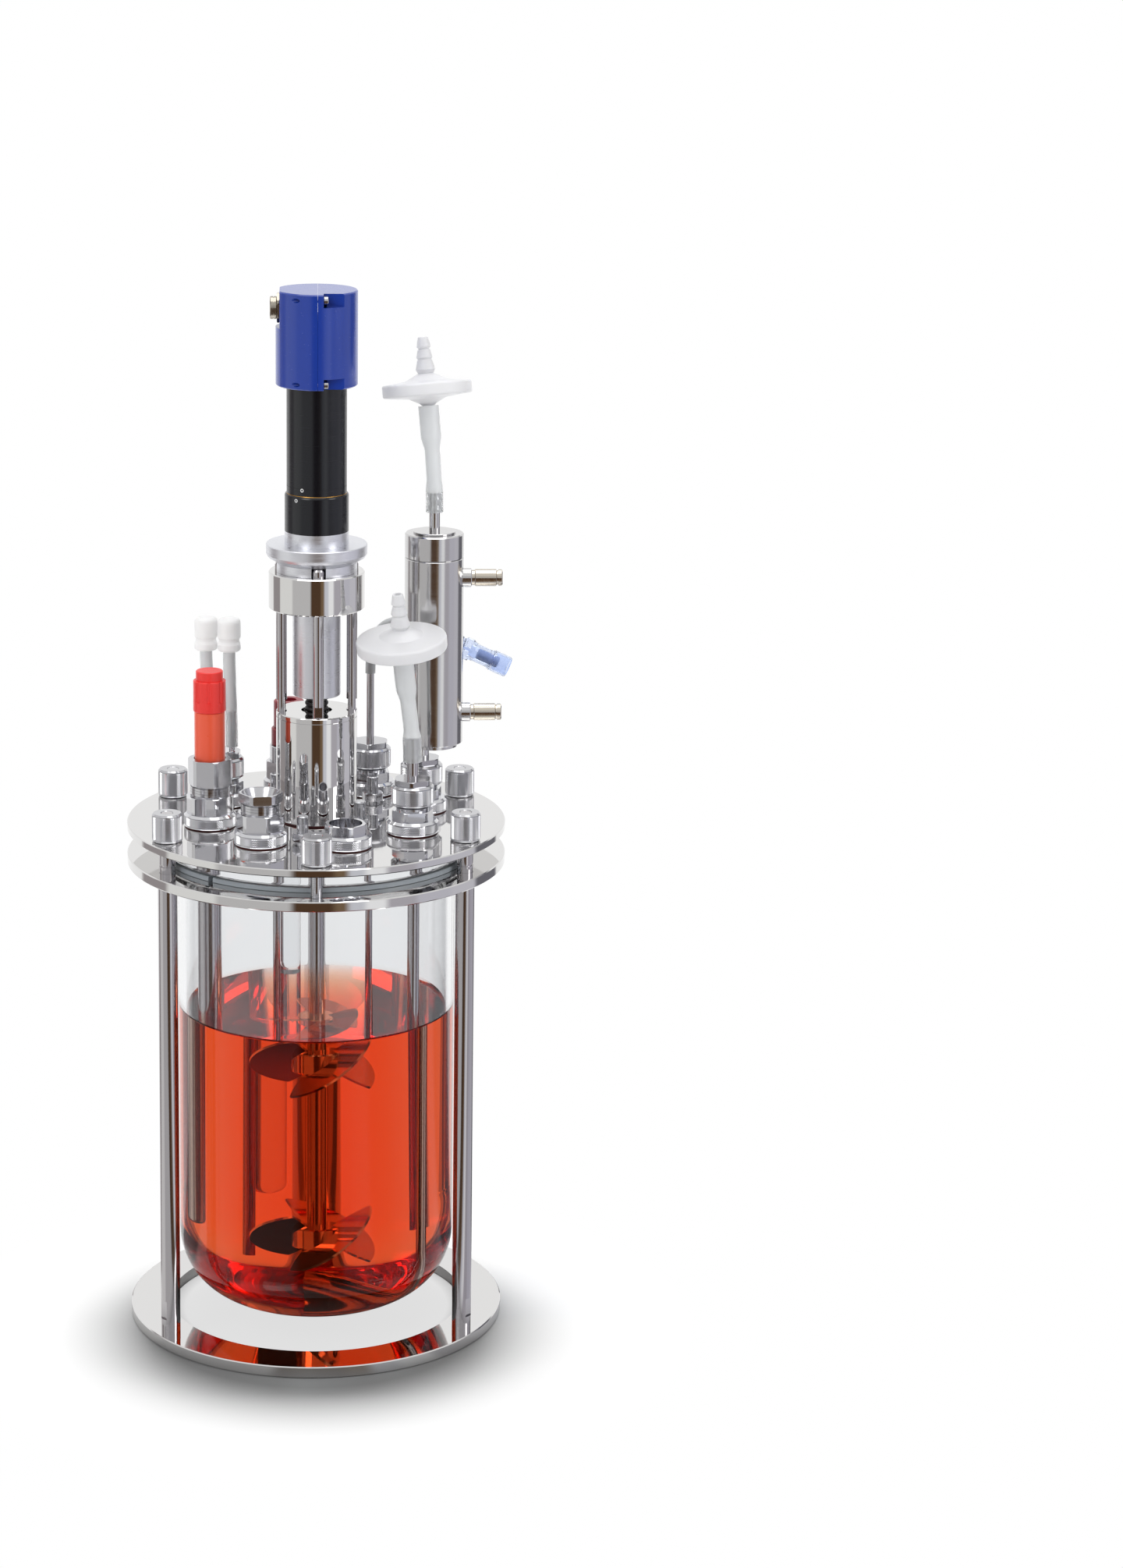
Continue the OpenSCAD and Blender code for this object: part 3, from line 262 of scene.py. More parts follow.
def see_through(tree, out, face, shade):
    """Lets lamp light through a clear material, tinted, where it would cast a black shadow."""
    path = add(tree, "ShaderNodeLightPath")
    clear = add(tree, "ShaderNodeBsdfTransparent", {"Color": shade})
    mix = add(tree, "ShaderNodeMixShader", {0: path.outputs["Is Shadow Ray"], 1: face.outputs[0],
                                            2: clear.outputs[0]})
    tree.links.new(mix.outputs[0], out.inputs["Surface"])


def borosilicate():
    """Blown borosilicate glass: fire-polished and clear, with a faint grey from its thickness
    and slow waves in the wall."""
    made, tree, out = new_material("borosilicate glass")
    place = add(tree, "ShaderNodeTexCoord").outputs["Object"]
    wave = add(tree, "ShaderNodeTexNoise", {"Vector": place, "Scale": 1 / (45 * MM), "Detail": 0.0})
    bump = add(tree, "ShaderNodeBump", {"Height": wave.outputs["Fac"], "Strength": 0.15,
                                        "Distance": 0.1 * MM})
    face = add(tree, "ShaderNodeBsdfPrincipled", {
        "Base Color": linear("#f2f3f4"), "Roughness": 0.0, "IOR": 1.47, "Transmission Weight": 1.0,
        "Specular Tint": (0.2, 0.2, 0.2, 1.0),
        "Normal": bump.outputs["Normal"]})
    see_through(tree, out, face, linear("#f4f8f8"))
    return made


def medium_liquid(colour, strength):
    """Watery culture medium with a strong dye: orange-red through its whole depth, and darker
    where a longer way through it is seen."""
    made, tree, out = new_material("dyed culture medium")
    face = add(tree, "ShaderNodeBsdfPrincipled", {
        "Base Color": linear("#ffffff"), "Roughness": 0.0, "IOR": 1.333, "Transmission Weight": 1.0,
        "Specular Tint": (0.06, 0.06, 0.06, 1.0)})
    see_through(tree, out, face, linear("#ffffff"))
    dye = add(tree, "ShaderNodeVolumeAbsorption", {"Color": (*colour, 1.0), "Density": strength})
    tree.links.new(dye.outputs[0], out.inputs["Volume"])
    return made


def rubber(name, colour, rough):
    """Moulded rubber: matt, with a faint uneven bloom."""
    made, tree, out = new_material(name)
    place = add(tree, "ShaderNodeTexCoord").outputs["Object"]
    bloom = add(tree, "ShaderNodeTexNoise", {"Vector": place, "Scale": 1 / (3 * MM), "Detail": 4.0})
    spread = add(tree, "ShaderNodeMapRange", {"Value": bloom.outputs["Fac"], "To Min": rough - 0.1,
                                              "To Max": rough + 0.1})
    bump = add(tree, "ShaderNodeBump", {"Height": bloom.outputs["Fac"], "Strength": 0.3,
                                        "Distance": 0.03 * MM})
    face = add(tree, "ShaderNodeBsdfPrincipled", {
        "Base Color": linear(colour), "Roughness": spread.outputs["Result"],
        "Normal": bump.outputs["Normal"]})
    tree.links.new(face.outputs[0], out.inputs["Surface"])
    return made


def moulded(name, colour, rough, grain=0.8, depth=0.02, coat=0.0, glow=0.0):
    """Moulded plastic: an even colour with the fine grain of its tool, whose gloss comes and
    goes a little over the surface."""
    made, tree, out = new_material(name)
    place = add(tree, "ShaderNodeTexCoord").outputs["Object"]
    skin = add(tree, "ShaderNodeTexNoise", {"Vector": place, "Scale": 1 / (grain * MM), "Detail": 3.0})
    tone = add(tree, "ShaderNodeTexNoise", {"Vector": place, "Scale": 1 / (18 * MM), "Detail": 2.0})
    shades = add(tree, "ShaderNodeMapRange", {"Value": tone.outputs["Fac"], "To Min": 0.93,
                                              "To Max": 1.07})
    paint = add(tree, "ShaderNodeVectorMath", {0: linear(colour)[:3], "Scale": shades.outputs["Result"]},
                operation="SCALE")
    spread = add(tree, "ShaderNodeMapRange", {"Value": skin.outputs["Fac"], "To Min": rough - 0.06,
                                              "To Max": rough + 0.06})
    bump = add(tree, "ShaderNodeBump", {"Height": skin.outputs["Fac"], "Strength": 0.3,
                                        "Distance": depth * MM})
    face = add(tree, "ShaderNodeBsdfPrincipled", {
        "Base Color": paint.outputs[0], "Roughness": spread.outputs["Result"], "IOR": 1.49,
        "Coat Weight": coat, "Coat Roughness": 0.15, "Subsurface Weight": glow,
        "Subsurface Radius": (1.0, 0.9, 0.8), "Subsurface Scale": 3 * MM,
        "Normal": bump.outputs["Normal"]})
    tree.links.new(face.outputs[0], out.inputs["Surface"])
    return made


def milky(name, colour, rough, clear):
    """Translucent polypropylene or polyethylene, as moulded: light passes through and spreads, so
    the piece glows a little and its edges look denser."""
    made, tree, out = new_material(name)
    place = add(tree, "ShaderNodeTexCoord").outputs["Object"]
    haze = add(tree, "ShaderNodeTexNoise", {"Vector": place, "Scale": 1 / (6 * MM), "Detail": 2.0})
    spread = add(tree, "ShaderNodeMapRange", {"Value": haze.outputs["Fac"], "To Min": rough - 0.08,
                                              "To Max": rough + 0.08})
    bump = add(tree, "ShaderNodeBump", {"Height": haze.outputs["Fac"], "Strength": 0.2,
                                        "Distance": 0.1 * MM})
    face = add(tree, "ShaderNodeBsdfPrincipled", {
        "Base Color": linear(colour), "Roughness": spread.outputs["Result"], "IOR": 1.49,
        "Transmission Weight": clear, "Subsurface Weight": 0.6,
        "Subsurface Radius": (1.0, 1.0, 0.95), "Subsurface Scale": 4 * MM,
        "Normal": bump.outputs["Normal"]})
    see_through(tree, out, face, [c * 0.85 for c in linear(colour)[:3]] + [1.0])
    return made


def silicone(zones):
    """Translucent extruded silicone: milky along its free length, and clearer in the zones, given
    by their heights, where it is stretched over a pipe that shows through it."""
    made, tree, out = new_material("translucent silicone")
    place = add(tree, "ShaderNodeTexCoord").outputs["Object"]
    haze = add(tree, "ShaderNodeTexNoise", {"Vector": place, "Scale": 1 / (6 * MM), "Detail": 2.0})
    height = add(tree, "ShaderNodeSeparateXYZ", {0: place}).outputs[2]
    stretched = 0.0
    for bottom, top in zones:
        above = add(tree, "ShaderNodeMapRange", {"Value": height, "From Min": bottom - MM,
                                                 "From Max": bottom})
        below = add(tree, "ShaderNodeMapRange", {"Value": height, "From Min": top, "From Max": top + MM,
                                                 "To Min": 1.0, "To Max": 0.0})
        zone = add(tree, "ShaderNodeMath", {0: above.outputs["Result"], 1: below.outputs["Result"]},
                   operation="MULTIPLY")
        stretched = add(tree, "ShaderNodeMath", {0: zone.outputs[0], 1: stretched},
                        operation="MAXIMUM").outputs[0]
    clear = add(tree, "ShaderNodeMapRange", {"Value": stretched, "To Min": 0.4, "To Max": 0.78})
    spread = add(tree, "ShaderNodeMapRange", {"Value": stretched, "To Min": 0.18, "To Max": 0.12})
    bump = add(tree, "ShaderNodeBump", {"Height": haze.outputs["Fac"], "Strength": 0.2,
                                        "Distance": 0.1 * MM})
    face = add(tree, "ShaderNodeBsdfPrincipled", {
        "Base Color": linear("#f4f6f7"), "Roughness": spread.outputs["Result"], "IOR": 1.41,
        "Transmission Weight": clear.outputs["Result"], "Subsurface Weight": 0.6,
        "Subsurface Radius": (1.0, 1.0, 0.95), "Subsurface Scale": 4 * MM,
        "Normal": bump.outputs["Normal"]})
    see_through(tree, out, face, linear("#dfe1e3"))
    return made


def clear_plastic(name, colour):
    """Clear tinted polycarbonate, as moulded: a bright skin, with flow marks that bend what is
    seen through it."""
    made, tree, out = new_material(name)
    place = add(tree, "ShaderNodeTexCoord").outputs["Object"]
    flow = add(tree, "ShaderNodeTexNoise", {"Vector": place, "Scale": 1 / (5 * MM), "Detail": 1.0})
    bump = add(tree, "ShaderNodeBump", {"Height": flow.outputs["Fac"], "Strength": 0.25,
                                        "Distance": 0.1 * MM})
    face = add(tree, "ShaderNodeBsdfPrincipled", {
        "Base Color": linear(colour), "Roughness": 0.05, "IOR": 1.58, "Transmission Weight": 0.9,
        "Normal": bump.outputs["Normal"]})
    see_through(tree, out, face, linear(colour))
    return made


# ---------- geometry trees for what repeats or follows a path ----------

def new_tree(name, sizes):
    """A geometry tree with named inputs, and its input sockets and output node."""
    tree = bpy.data.node_groups.new(name, "GeometryNodeTree")
    tree.interface.new_socket("Geometry", in_out="OUTPUT", socket_type="NodeSocketGeometry")
    for size, kind in sizes:
        tree.interface.new_socket(size, in_out="INPUT", socket_type="NodeSocket" + kind)
    return tree, add(tree, "NodeGroupInput").outputs, add(tree, "NodeGroupOutput")


def knurl_tree():
    """Rows of blunt pyramids round a core, every other row moved half a tooth along, as a
    diamond knurl has them."""
    tree, put, end = new_tree("Diamond knurl", (
        ("Centre", "Vector"), ("Root", "Float"), ("Low", "Float"), ("High", "Float"),
        ("Pitch", "Float"), ("Row pitch", "Float"), ("Depth", "Float"), ("Finish", "Material")))
    girth = add(tree, "ShaderNodeMath", {0: put["Root"], 1: 2 * math.pi}, operation="MULTIPLY")
    across = add(tree, "ShaderNodeMath", {0: girth.outputs[0], 1: put["Pitch"]}, operation="DIVIDE")
    count = add(tree, "ShaderNodeMath", {0: across.outputs[0]}, operation="ROUND")
    height = add(tree, "ShaderNodeMath", {0: put["High"], 1: put["Low"]}, operation="SUBTRACT")
    tall = add(tree, "ShaderNodeMath", {0: height.outputs[0], 1: put["Row pitch"]}, operation="DIVIDE")
    twice = add(tree, "ShaderNodeMath", {0: tall.outputs[0], 1: 2.0}, operation="MULTIPLY")
    halves = add(tree, "ShaderNodeMath", {0: twice.outputs[0]}, operation="ROUND")
    rows = add(tree, "ShaderNodeMath", {0: halves.outputs[0], 1: 1.0}, operation="SUBTRACT")
    total = add(tree, "ShaderNodeMath", {0: count.outputs[0], 1: rows.outputs[0]}, operation="MULTIPLY")
    points = add(tree, "GeometryNodePoints", {"Count": total.outputs[0]})
    index = add(tree, "GeometryNodeInputIndex")
    share = add(tree, "ShaderNodeMath", {0: index.outputs[0], 1: count.outputs[0]}, operation="DIVIDE")
    row = add(tree, "ShaderNodeMath", {0: share.outputs[0]}, operation="FLOOR")
    odd = add(tree, "ShaderNodeMath", {0: row.outputs[0], 1: 2.0}, operation="MODULO")
    stagger = add(tree, "ShaderNodeMath", {0: odd.outputs[0], 1: 0.5, 2: index.outputs[0]},
                  operation="MULTIPLY_ADD")
    turn = add(tree, "ShaderNodeMath", {0: stagger.outputs[0], 1: count.outputs[0]}, operation="DIVIDE")
    angle = add(tree, "ShaderNodeMath", {0: turn.outputs[0], 1: 2 * math.pi}, operation="MULTIPLY")
    cosine = add(tree, "ShaderNodeMath", {0: angle.outputs[0]}, operation="COSINE")
    sine = add(tree, "ShaderNodeMath", {0: angle.outputs[0]}, operation="SINE")
    x = add(tree, "ShaderNodeMath", {0: cosine.outputs[0], 1: put["Root"]}, operation="MULTIPLY")
    y = add(tree, "ShaderNodeMath", {0: sine.outputs[0], 1: put["Root"]}, operation="MULTIPLY")
    step = add(tree, "ShaderNodeMath", {0: height.outputs[0], 1: halves.outputs[0]}, operation="DIVIDE")
    level = add(tree, "ShaderNodeMath", {0: row.outputs[0], 1: 1.0}, operation="ADD")
    z = add(tree, "ShaderNodeMath", {0: level.outputs[0], 1: step.outputs[0], 2: put["Low"]},
            operation="MULTIPLY_ADD")
    where = add(tree, "ShaderNodeCombineXYZ", {0: x.outputs[0], 1: y.outputs[0], 2: z.outputs[0]})
    spot = add(tree, "ShaderNodeVectorMath", {0: where.outputs[0], 1: put["Centre"]}, operation="ADD")
    placed = add(tree, "GeometryNodeSetPosition", {"Geometry": points.outputs[0],
                                                   "Position": spot.outputs[0]})
    tooth = add(tree, "GeometryNodeMeshCone", {"Vertices": 4, "Side Segments": 1, "Radius Top": 0.1,
                                               "Radius Bottom": 0.52, "Depth": 1.0}, fill_type="NGON")
    facing = add(tree, "ShaderNodeCombineXYZ", {0: 0.0, 1: math.pi / 2, 2: angle.outputs[0]})
    twist = add(tree, "FunctionNodeEulerToRotation", {0: facing.outputs[0]})
    tooth_h = add(tree, "ShaderNodeMath", {0: step.outputs[0], 1: 2.0}, operation="MULTIPLY")
    tooth_w = add(tree, "ShaderNodeMath", {0: girth.outputs[0], 1: count.outputs[0]}, operation="DIVIDE")
    size = add(tree, "ShaderNodeCombineXYZ", {0: tooth_h.outputs[0], 1: tooth_w.outputs[0],
                                              2: put["Depth"]})
    teeth = add(tree, "GeometryNodeInstanceOnPoints", {
        "Points": placed.outputs[0], "Instance": tooth.outputs[0], "Rotation": twist.outputs[0],
        "Scale": size.outputs[0]})
    real = add(tree, "GeometryNodeRealizeInstances", {0: teeth.outputs[0]})
    paint = add(tree, "GeometryNodeSetMaterial", {"Geometry": real.outputs[0], "Material": put["Finish"]})
    tree.links.new(paint.outputs[0], end.inputs[0])
    return tree


def thread_tree():
    """A screw thread: a ridge with a narrow flat crest, wound up a core and closed at its ends.
    The ridge takes most of the pitch at its foot and a fifth of it at its crest."""
    tree, put, end = new_tree("Screw thread", (
        ("Centre", "Vector"), ("Crest", "Float"), ("Root", "Float"), ("Low", "Float"),
        ("High", "Float"), ("Pitch", "Float"), ("Finish", "Material")))
    depth = add(tree, "ShaderNodeMath", {0: put["Crest"], 1: put["Root"]}, operation="SUBTRACT")
    foot = add(tree, "ShaderNodeMath", {0: put["Pitch"], 1: 0.92}, operation="MULTIPLY")
    crest = add(tree, "ShaderNodeMath", {0: put["Pitch"], 1: 0.2}, operation="MULTIPLY")
    ridge = add(tree, "GeometryNodeCurvePrimitiveQuadrilateral", mode="TRAPEZOID")
    for name, source in (("Height", depth), ("Bottom Width", foot), ("Top Width", crest)):
        tree.links.new(source.outputs[0], ridge.inputs[name])
    ridge.inputs["Offset"].default_value = 0.0
    out = add(tree, "GeometryNodeTransform", {"Geometry": ridge.outputs[0],
                                              "Rotation": Euler((0, 0, -math.pi / 2))})
    height = add(tree, "ShaderNodeMath", {0: put["High"], 1: put["Low"]}, operation="SUBTRACT")
    climb = add(tree, "ShaderNodeMath", {0: height.outputs[0], 1: put["Pitch"]}, operation="SUBTRACT")
    turns = add(tree, "ShaderNodeMath", {0: climb.outputs[0], 1: put["Pitch"]}, operation="DIVIDE")
    middle_r = add(tree, "ShaderNodeMath", {0: depth.outputs[0], 1: 0.5, 2: put["Root"]},
                   operation="MULTIPLY_ADD")
    wound = add(tree, "GeometryNodeCurveSpiral", {
        "Resolution": 28, "Rotations": turns.outputs[0], "Start Radius": middle_r.outputs[0],
        "End Radius": middle_r.outputs[0], "Height": climb.outputs[0]})
    upright = add(tree, "GeometryNodeSetCurveNormal", {"Curve": wound.outputs[0]}, mode="Z_UP")
    solid = add(tree, "GeometryNodeCurveToMesh", {"Curve": upright.outputs[0],
                                                  "Profile Curve": out.outputs[0], "Fill Caps": True})
    start = add(tree, "ShaderNodeMath", {0: put["Pitch"], 1: 0.5, 2: put["Low"]},
                operation="MULTIPLY_ADD")
    lift = add(tree, "ShaderNodeCombineXYZ", {2: start.outputs[0]})
    shift = add(tree, "ShaderNodeVectorMath", {0: put["Centre"], 1: lift.outputs[0]}, operation="ADD")
    placed = add(tree, "GeometryNodeTransform", {"Geometry": solid.outputs[0],
                                                 "Translation": shift.outputs[0]})
    real = add(tree, "GeometryNodeRealizeInstances", {0: placed.outputs[0]})
    paint = add(tree, "GeometryNodeSetMaterial", {"Geometry": real.outputs[0], "Material": put["Finish"]})
    tree.links.new(paint.outputs[0], end.inputs[0])
    return tree


def hose_tree():
    """A hose along one free curve, hollow from end to end. It is wider over the pipe at its first
    end and over the barb at its last, and narrows between, at set shares of its length."""
    tree, put, end = new_tree("Silicone hose", (
        ("Start", "Vector"), ("Start handle", "Vector"), ("End handle", "Vector"), ("End", "Vector"),
        ("First radius", "Float"), ("Middle radius", "Float"), ("Last radius", "Float"),
        ("Wall", "Float"), ("Finish", "Material")))
    route = add(tree, "GeometryNodeCurvePrimitiveBezierSegment", {
        "Resolution": 48, "Start": put["Start"], "Start Handle": put["Start handle"],
        "End Handle": put["End handle"], "End": put["End"]}, mode="POSITION")
    even = add(tree, "GeometryNodeResampleCurve", {"Curve": route.outputs[0], "Count": 49})
    along = add(tree, "GeometryNodeSplineParameter").outputs["Factor"]
    leave = add(tree, "ShaderNodeMapRange", {"Value": along, "From Min": 0.2, "From Max": 0.32,
                                             "To Min": put["First radius"],
                                             "To Max": put["Middle radius"]},
                interpolation_type="SMOOTHSTEP")
    meet = add(tree, "ShaderNodeMapRange", {"Value": along, "From Min": 0.58, "From Max": 0.72,
                                            "To Min": put["Middle radius"],
                                            "To Max": put["Last radius"]},
               interpolation_type="SMOOTHSTEP")
    both = add(tree, "ShaderNodeMath", {0: leave.outputs["Result"], 1: meet.outputs["Result"]},
               operation="ADD")
    radius = add(tree, "ShaderNodeMath", {0: both.outputs[0], 1: put["Middle radius"]},
                 operation="SUBTRACT")
    circle = add(tree, "GeometryNodeCurvePrimitiveCircle", {"Resolution": 36, "Radius": 1.0})
    skin = add(tree, "GeometryNodeCurveToMesh", {"Curve": even.outputs[0],
                                                 "Profile Curve": circle.outputs[0],
                                                 "Scale": radius.outputs[0]})
    inward = add(tree, "ShaderNodeMath", {0: put["Wall"], 1: -1.0}, operation="MULTIPLY")
    bore = add(tree, "GeometryNodeExtrudeMesh", {"Mesh": skin.outputs[0], "Individual": False,
                                                 "Offset Scale": inward.outputs[0]}, mode="FACES")
    join = add(tree, "GeometryNodeJoinGeometry", {0: skin.outputs[0]})
    tree.links.new(bore.outputs[0], join.inputs[0])
    weld = add(tree, "GeometryNodeMergeByDistance", {"Geometry": join.outputs[0], "Distance": 1e-6})
    real = add(tree, "GeometryNodeRealizeInstances", {0: weld.outputs[0]})
    paint = add(tree, "GeometryNodeSetMaterial", {"Geometry": real.outputs[0], "Material": put["Finish"]})
    tree.links.new(paint.outputs[0], end.inputs[0])
    return tree


def grown(tree, values):
    """The closed mesh that a geometry tree makes from its named inputs, with its faces outward."""
    holder = bpy.data.objects.new("holder", bpy.data.meshes.new("holder"))
    bpy.context.scene.collection.objects.link(holder)
    modifier = holder.modifiers.new("tree", "NODES")
    modifier.node_group = tree
    for item in tree.interface.items_tree:
        if item.in_out == "INPUT":
            modifier[item.identifier] = values[item.name]
    view = bpy.context.evaluated_depsgraph_get()
    mesh = bpy.data.meshes.new_from_object(holder.evaluated_get(view), depsgraph=view)
    bpy.data.objects.remove(holder)
    form = bmesh.new()
    form.from_mesh(mesh)
    bmesh.ops.remove_doubles(form, verts=form.verts, dist=1e-6)
    bmesh.ops.recalc_face_normals(form, faces=form.faces)
    form.to_mesh(mesh)
    form.free()
    return mesh


# ---------- settings ----------

class BioreactorKnurls(bpy.types.PropertyGroup):
    pitch: FloatProperty(name="Knurl pitch", description="Distance between teeth round a knurl",
                         default=1.05 * MM, min=0.5 * MM, max=3 * MM, unit="LENGTH", precision=5)
    row_pitch: FloatProperty(name="Row pitch", description="Distance between rows of teeth in line",
                             default=1.3 * MM, min=0.5 * MM, max=4 * MM, unit="LENGTH", precision=5)
    depth: FloatProperty(name="Knurl depth", description="Height of a tooth above its groove",
                         default=0.35 * MM, min=0.05 * MM, max=1 * MM, unit="LENGTH", precision=5)
    stud_pitch: FloatProperty(name="Stud thread pitch", description="Of the clamp studs and plugs",
                              default=1.0 * MM, min=0.4 * MM, max=2 * MM, unit="LENGTH", precision=5)
    neck_pitch: FloatProperty(name="Neck thread pitch", description="Of the probe ports' necks",
                              default=1.41 * MM, min=0.5 * MM, max=3 * MM, unit="LENGTH", precision=5)


class BioreactorFinish(bpy.types.PropertyGroup):
    medium_colour: FloatVectorProperty(name="Medium colour",
                                       description="Light that the dyed medium lets through",
                                       default=(0.985, 0.405, 0.0), min=0, max=1, subtype="COLOR")
    medium_strength: FloatProperty(name="Dye strength", description="Absorption for each metre",
                                   default=34.0, min=0, max=500)
    cover_blue: StringProperty(name="Cover colour", description="Motor cover, sRGB hex",
                               default="#0b3290")
    sleeve_orange: StringProperty(name="Sleeve colour", description="Probe sleeve, sRGB hex",
                                  default="#ee5a3a")
    cap_red: StringProperty(name="Cap colour", description="Probe cap, sRGB hex", default="#e8322c")
    hose_wall: FloatProperty(name="Hose wall", description="Wall of the wide silicone hoses",
                             default=1.2 * MM, min=0.3 * MM, max=3 * MM, unit="LENGTH", precision=5)
    thin_wall: FloatProperty(name="Thin hose wall", description="Wall of the sample hose",
                             default=0.75 * MM, min=0.3 * MM, max=3 * MM, unit="LENGTH", precision=5)


class BioreactorStage(bpy.types.PropertyGroup):
    distance: FloatProperty(name="Camera distance", description="From the vessel's axis to the camera",
                            default=2.07, min=0.5, max=10, unit="LENGTH")
    height: FloatProperty(name="Camera height", description="Above the bench", default=0.8487,
                          min=0, max=5, unit="LENGTH")
    pitch: FloatProperty(name="Camera tilt", description="Below the horizontal",
                         default=math.radians(12.265), subtype="ANGLE")
    yaw: FloatProperty(name="Camera turn", description="To the right of the vessel's axis",
                       default=math.radians(3.499), subtype="ANGLE")
    roll: FloatProperty(name="Camera roll", description="Round the line of sight, which sets the "
                        "object upright", default=math.radians(0.764), subtype="ANGLE")
    lens: FloatProperty(name="Lens", description="Focal length on a 36 mm long side", default=94.1,
                        min=20, max=400)
    shift: FloatProperty(name="Lens shift", description="Upward, as a share of the long side",
                         default=-0.13, min=-1, max=1)


# ---------- pieces ----------

class BIOREACTOR_OT_steel(bpy.types.Operator):
    """Dress the plates, legs, tower, ports, impellers and pipes in their steels"""
    bl_idname = "bioreactor.steel"
    bl_label = "Steel"

    def execute(self, context):
        mirror, drawn = mirror_steel(), drawn_steel()
        bright = turned_metal("bright-turned stainless steel", "#d6d6d9", 0.08, 0.2)
        turned = turned_metal("lathe-turned stainless steel", "#cacacd", 0.16)
        satin = turned_metal("satin-polished stainless steel", "#d0cfcf", 0.14, 0.12)
        for name in ("base_ring", "flange_ring", "head_plate", "bearing_housing", "tower_collar"):
            dress(name, mirror)
        for name in ("condenser", "condenser_cap"):
            dress(name, satin)
        for name in ("tall_ports", "short_ports", "impeller_upper", "impeller_lower", "feed_pipes"):
            dress(name, bright)
        for name in ("clamp_studs", "plate_plugs", "probe_glands", "cover_screws", "shaft_bearings"):
            dress(name, turned)
        for name in ("legs", "tower_rods", "stirrer_shaft", "motor_shaft", "sparger", "sample_pipe",
                     "dip_tube", "oxygen_probe"):
            dress(name, drawn)
        return {"FINISHED"}


class BIOREACTOR_OT_motor(bpy.types.Operator):
    """Dress the motor, its gearhead, its cover and the coupling, and fit the joint ring"""
    bl_idname = "bioreactor.motor"
    bl_label = "Motor and coupling"

    def execute(self, context):
        finish = context.scene.bioreactor_finish
        black = turned_metal("black anodised aluminium", "#04060d", 0.22, 0.15, metal=0.0)
        for name in ("gearhead", "motor_barrel"):
            dress(name, black)
        blue = moulded("blue lacquered plastic", finish.cover_blue, 0.25, 1.2, 0.015, 0.5)
        for name in ("motor_cover_left", "motor_cover_right"):
            dress(name, blue)
        satin = turned_metal("clear anodised aluminium", "#dddee3", 0.34, 0.08)
        for name in ("coupling_sleeve", "motor_spigot", "motor_flange"):
            dress(name, satin)
        dress("motor_socket", turned_metal("nickel-plated shell", "#a9a296", 0.22, axis="X"))
        joint = low("motor_barrel").z
        core, edge, half = 15.0 * MM, high("motor_barrel").x + 0.05 * MM, 0.2 * MM
        ring = lathe([(core, joint - half), (edge - 0.1 * MM, joint - half), (edge, joint),
                      (edge - 0.1 * MM, joint + half), (core, joint + half)])
        shape_object("joint_ring", ring, turned_metal("turned brass", "#b98a44", 0.25))
        rings = []
        for node, across, above in (("motor_barrel", -7.5, 3.4), ("gearhead", -10.5, -2.1)):
            radius = high(node).x
            spot = Vector((across * MM, 0, joint + above * MM))
            spot.y = -math.sqrt(radius ** 2 - spot.x ** 2) + 0.02 * MM
            mark = lathe([(0.5 * MM, 0), (0.95 * MM, 0), (0.95 * MM, 0.06 * MM), (0.5 * MM, 0.06 * MM)],
                         steps=24)
            facing = Vector((spot.x, spot.y, 0)).to_track_quat("Z", "Y").to_matrix().to_4x4()
            mark.transform(Matrix.Translation(spot) @ facing)
            rings.append(mark)
        shape_object("index_rings", joined(rings), moulded("white fill", "#d8d8d8", 0.5))
        return {"FINISHED"}


class BIOREACTOR_OT_plastics(bpy.types.Operator):
    """Dress the seals, cushion, probe heads, filters, caps and sample valve"""
    bl_idname = "bioreactor.plastics"
    bl_label = "Plastics and rubber"

    def execute(self, context):
        finish = context.scene.bioreactor_finish
        dress("seals", rubber("dark red fluoro rubber", "#4a0d0c", 0.45))
        dress("shaft_bellows", rubber("black EPDM rubber", "#100c0c", 0.5))
        # painted light: the cushion's colour is drawn much paler than its own blue-grey, to make up for the
        # shade it gets between the two plates
        dress("split_cushion", moulded("blue-grey polymer cushion", "#e0e9f1", 0.25, 1.5))
        dress("probe_sleeve", moulded("orange gloss sleeve", finish.sleeve_orange, 0.3, 2.0, 0.02, 0.3))
        dress("probe_cap", moulded("red moulded cap", finish.cap_red, 0.36, 1.0, 0.02, 0.1))
        dress("ph_head", moulded("dark red moulded head", "#8a1626", 0.35))
        dress("ph_probe", borosilicate())
        dress("vent_filters", milky("natural polypropylene", "#e8e8ea", 0.35, 0.3))
        dress("feed_caps", milky("natural polyethylene", "#ffffff", 0.4, 0.35))
        dress("sample_valve", clear_plastic("lilac polycarbonate", "#dde8ff"))
        dress("valve_piston", moulded("blue silicone piston", "#b9d3ff", 0.35, 1.0, 0.02, 0.0, 0.4))
        fittings = turned_metal("nickel-plated brass", "#cfc7ba", 0.14, 0.25, axis="X")
        for name in ("coolant_fittings", "release_ring_upper", "release_ring_lower"):
            dress(name, fittings)
        return {"FINISHED"}


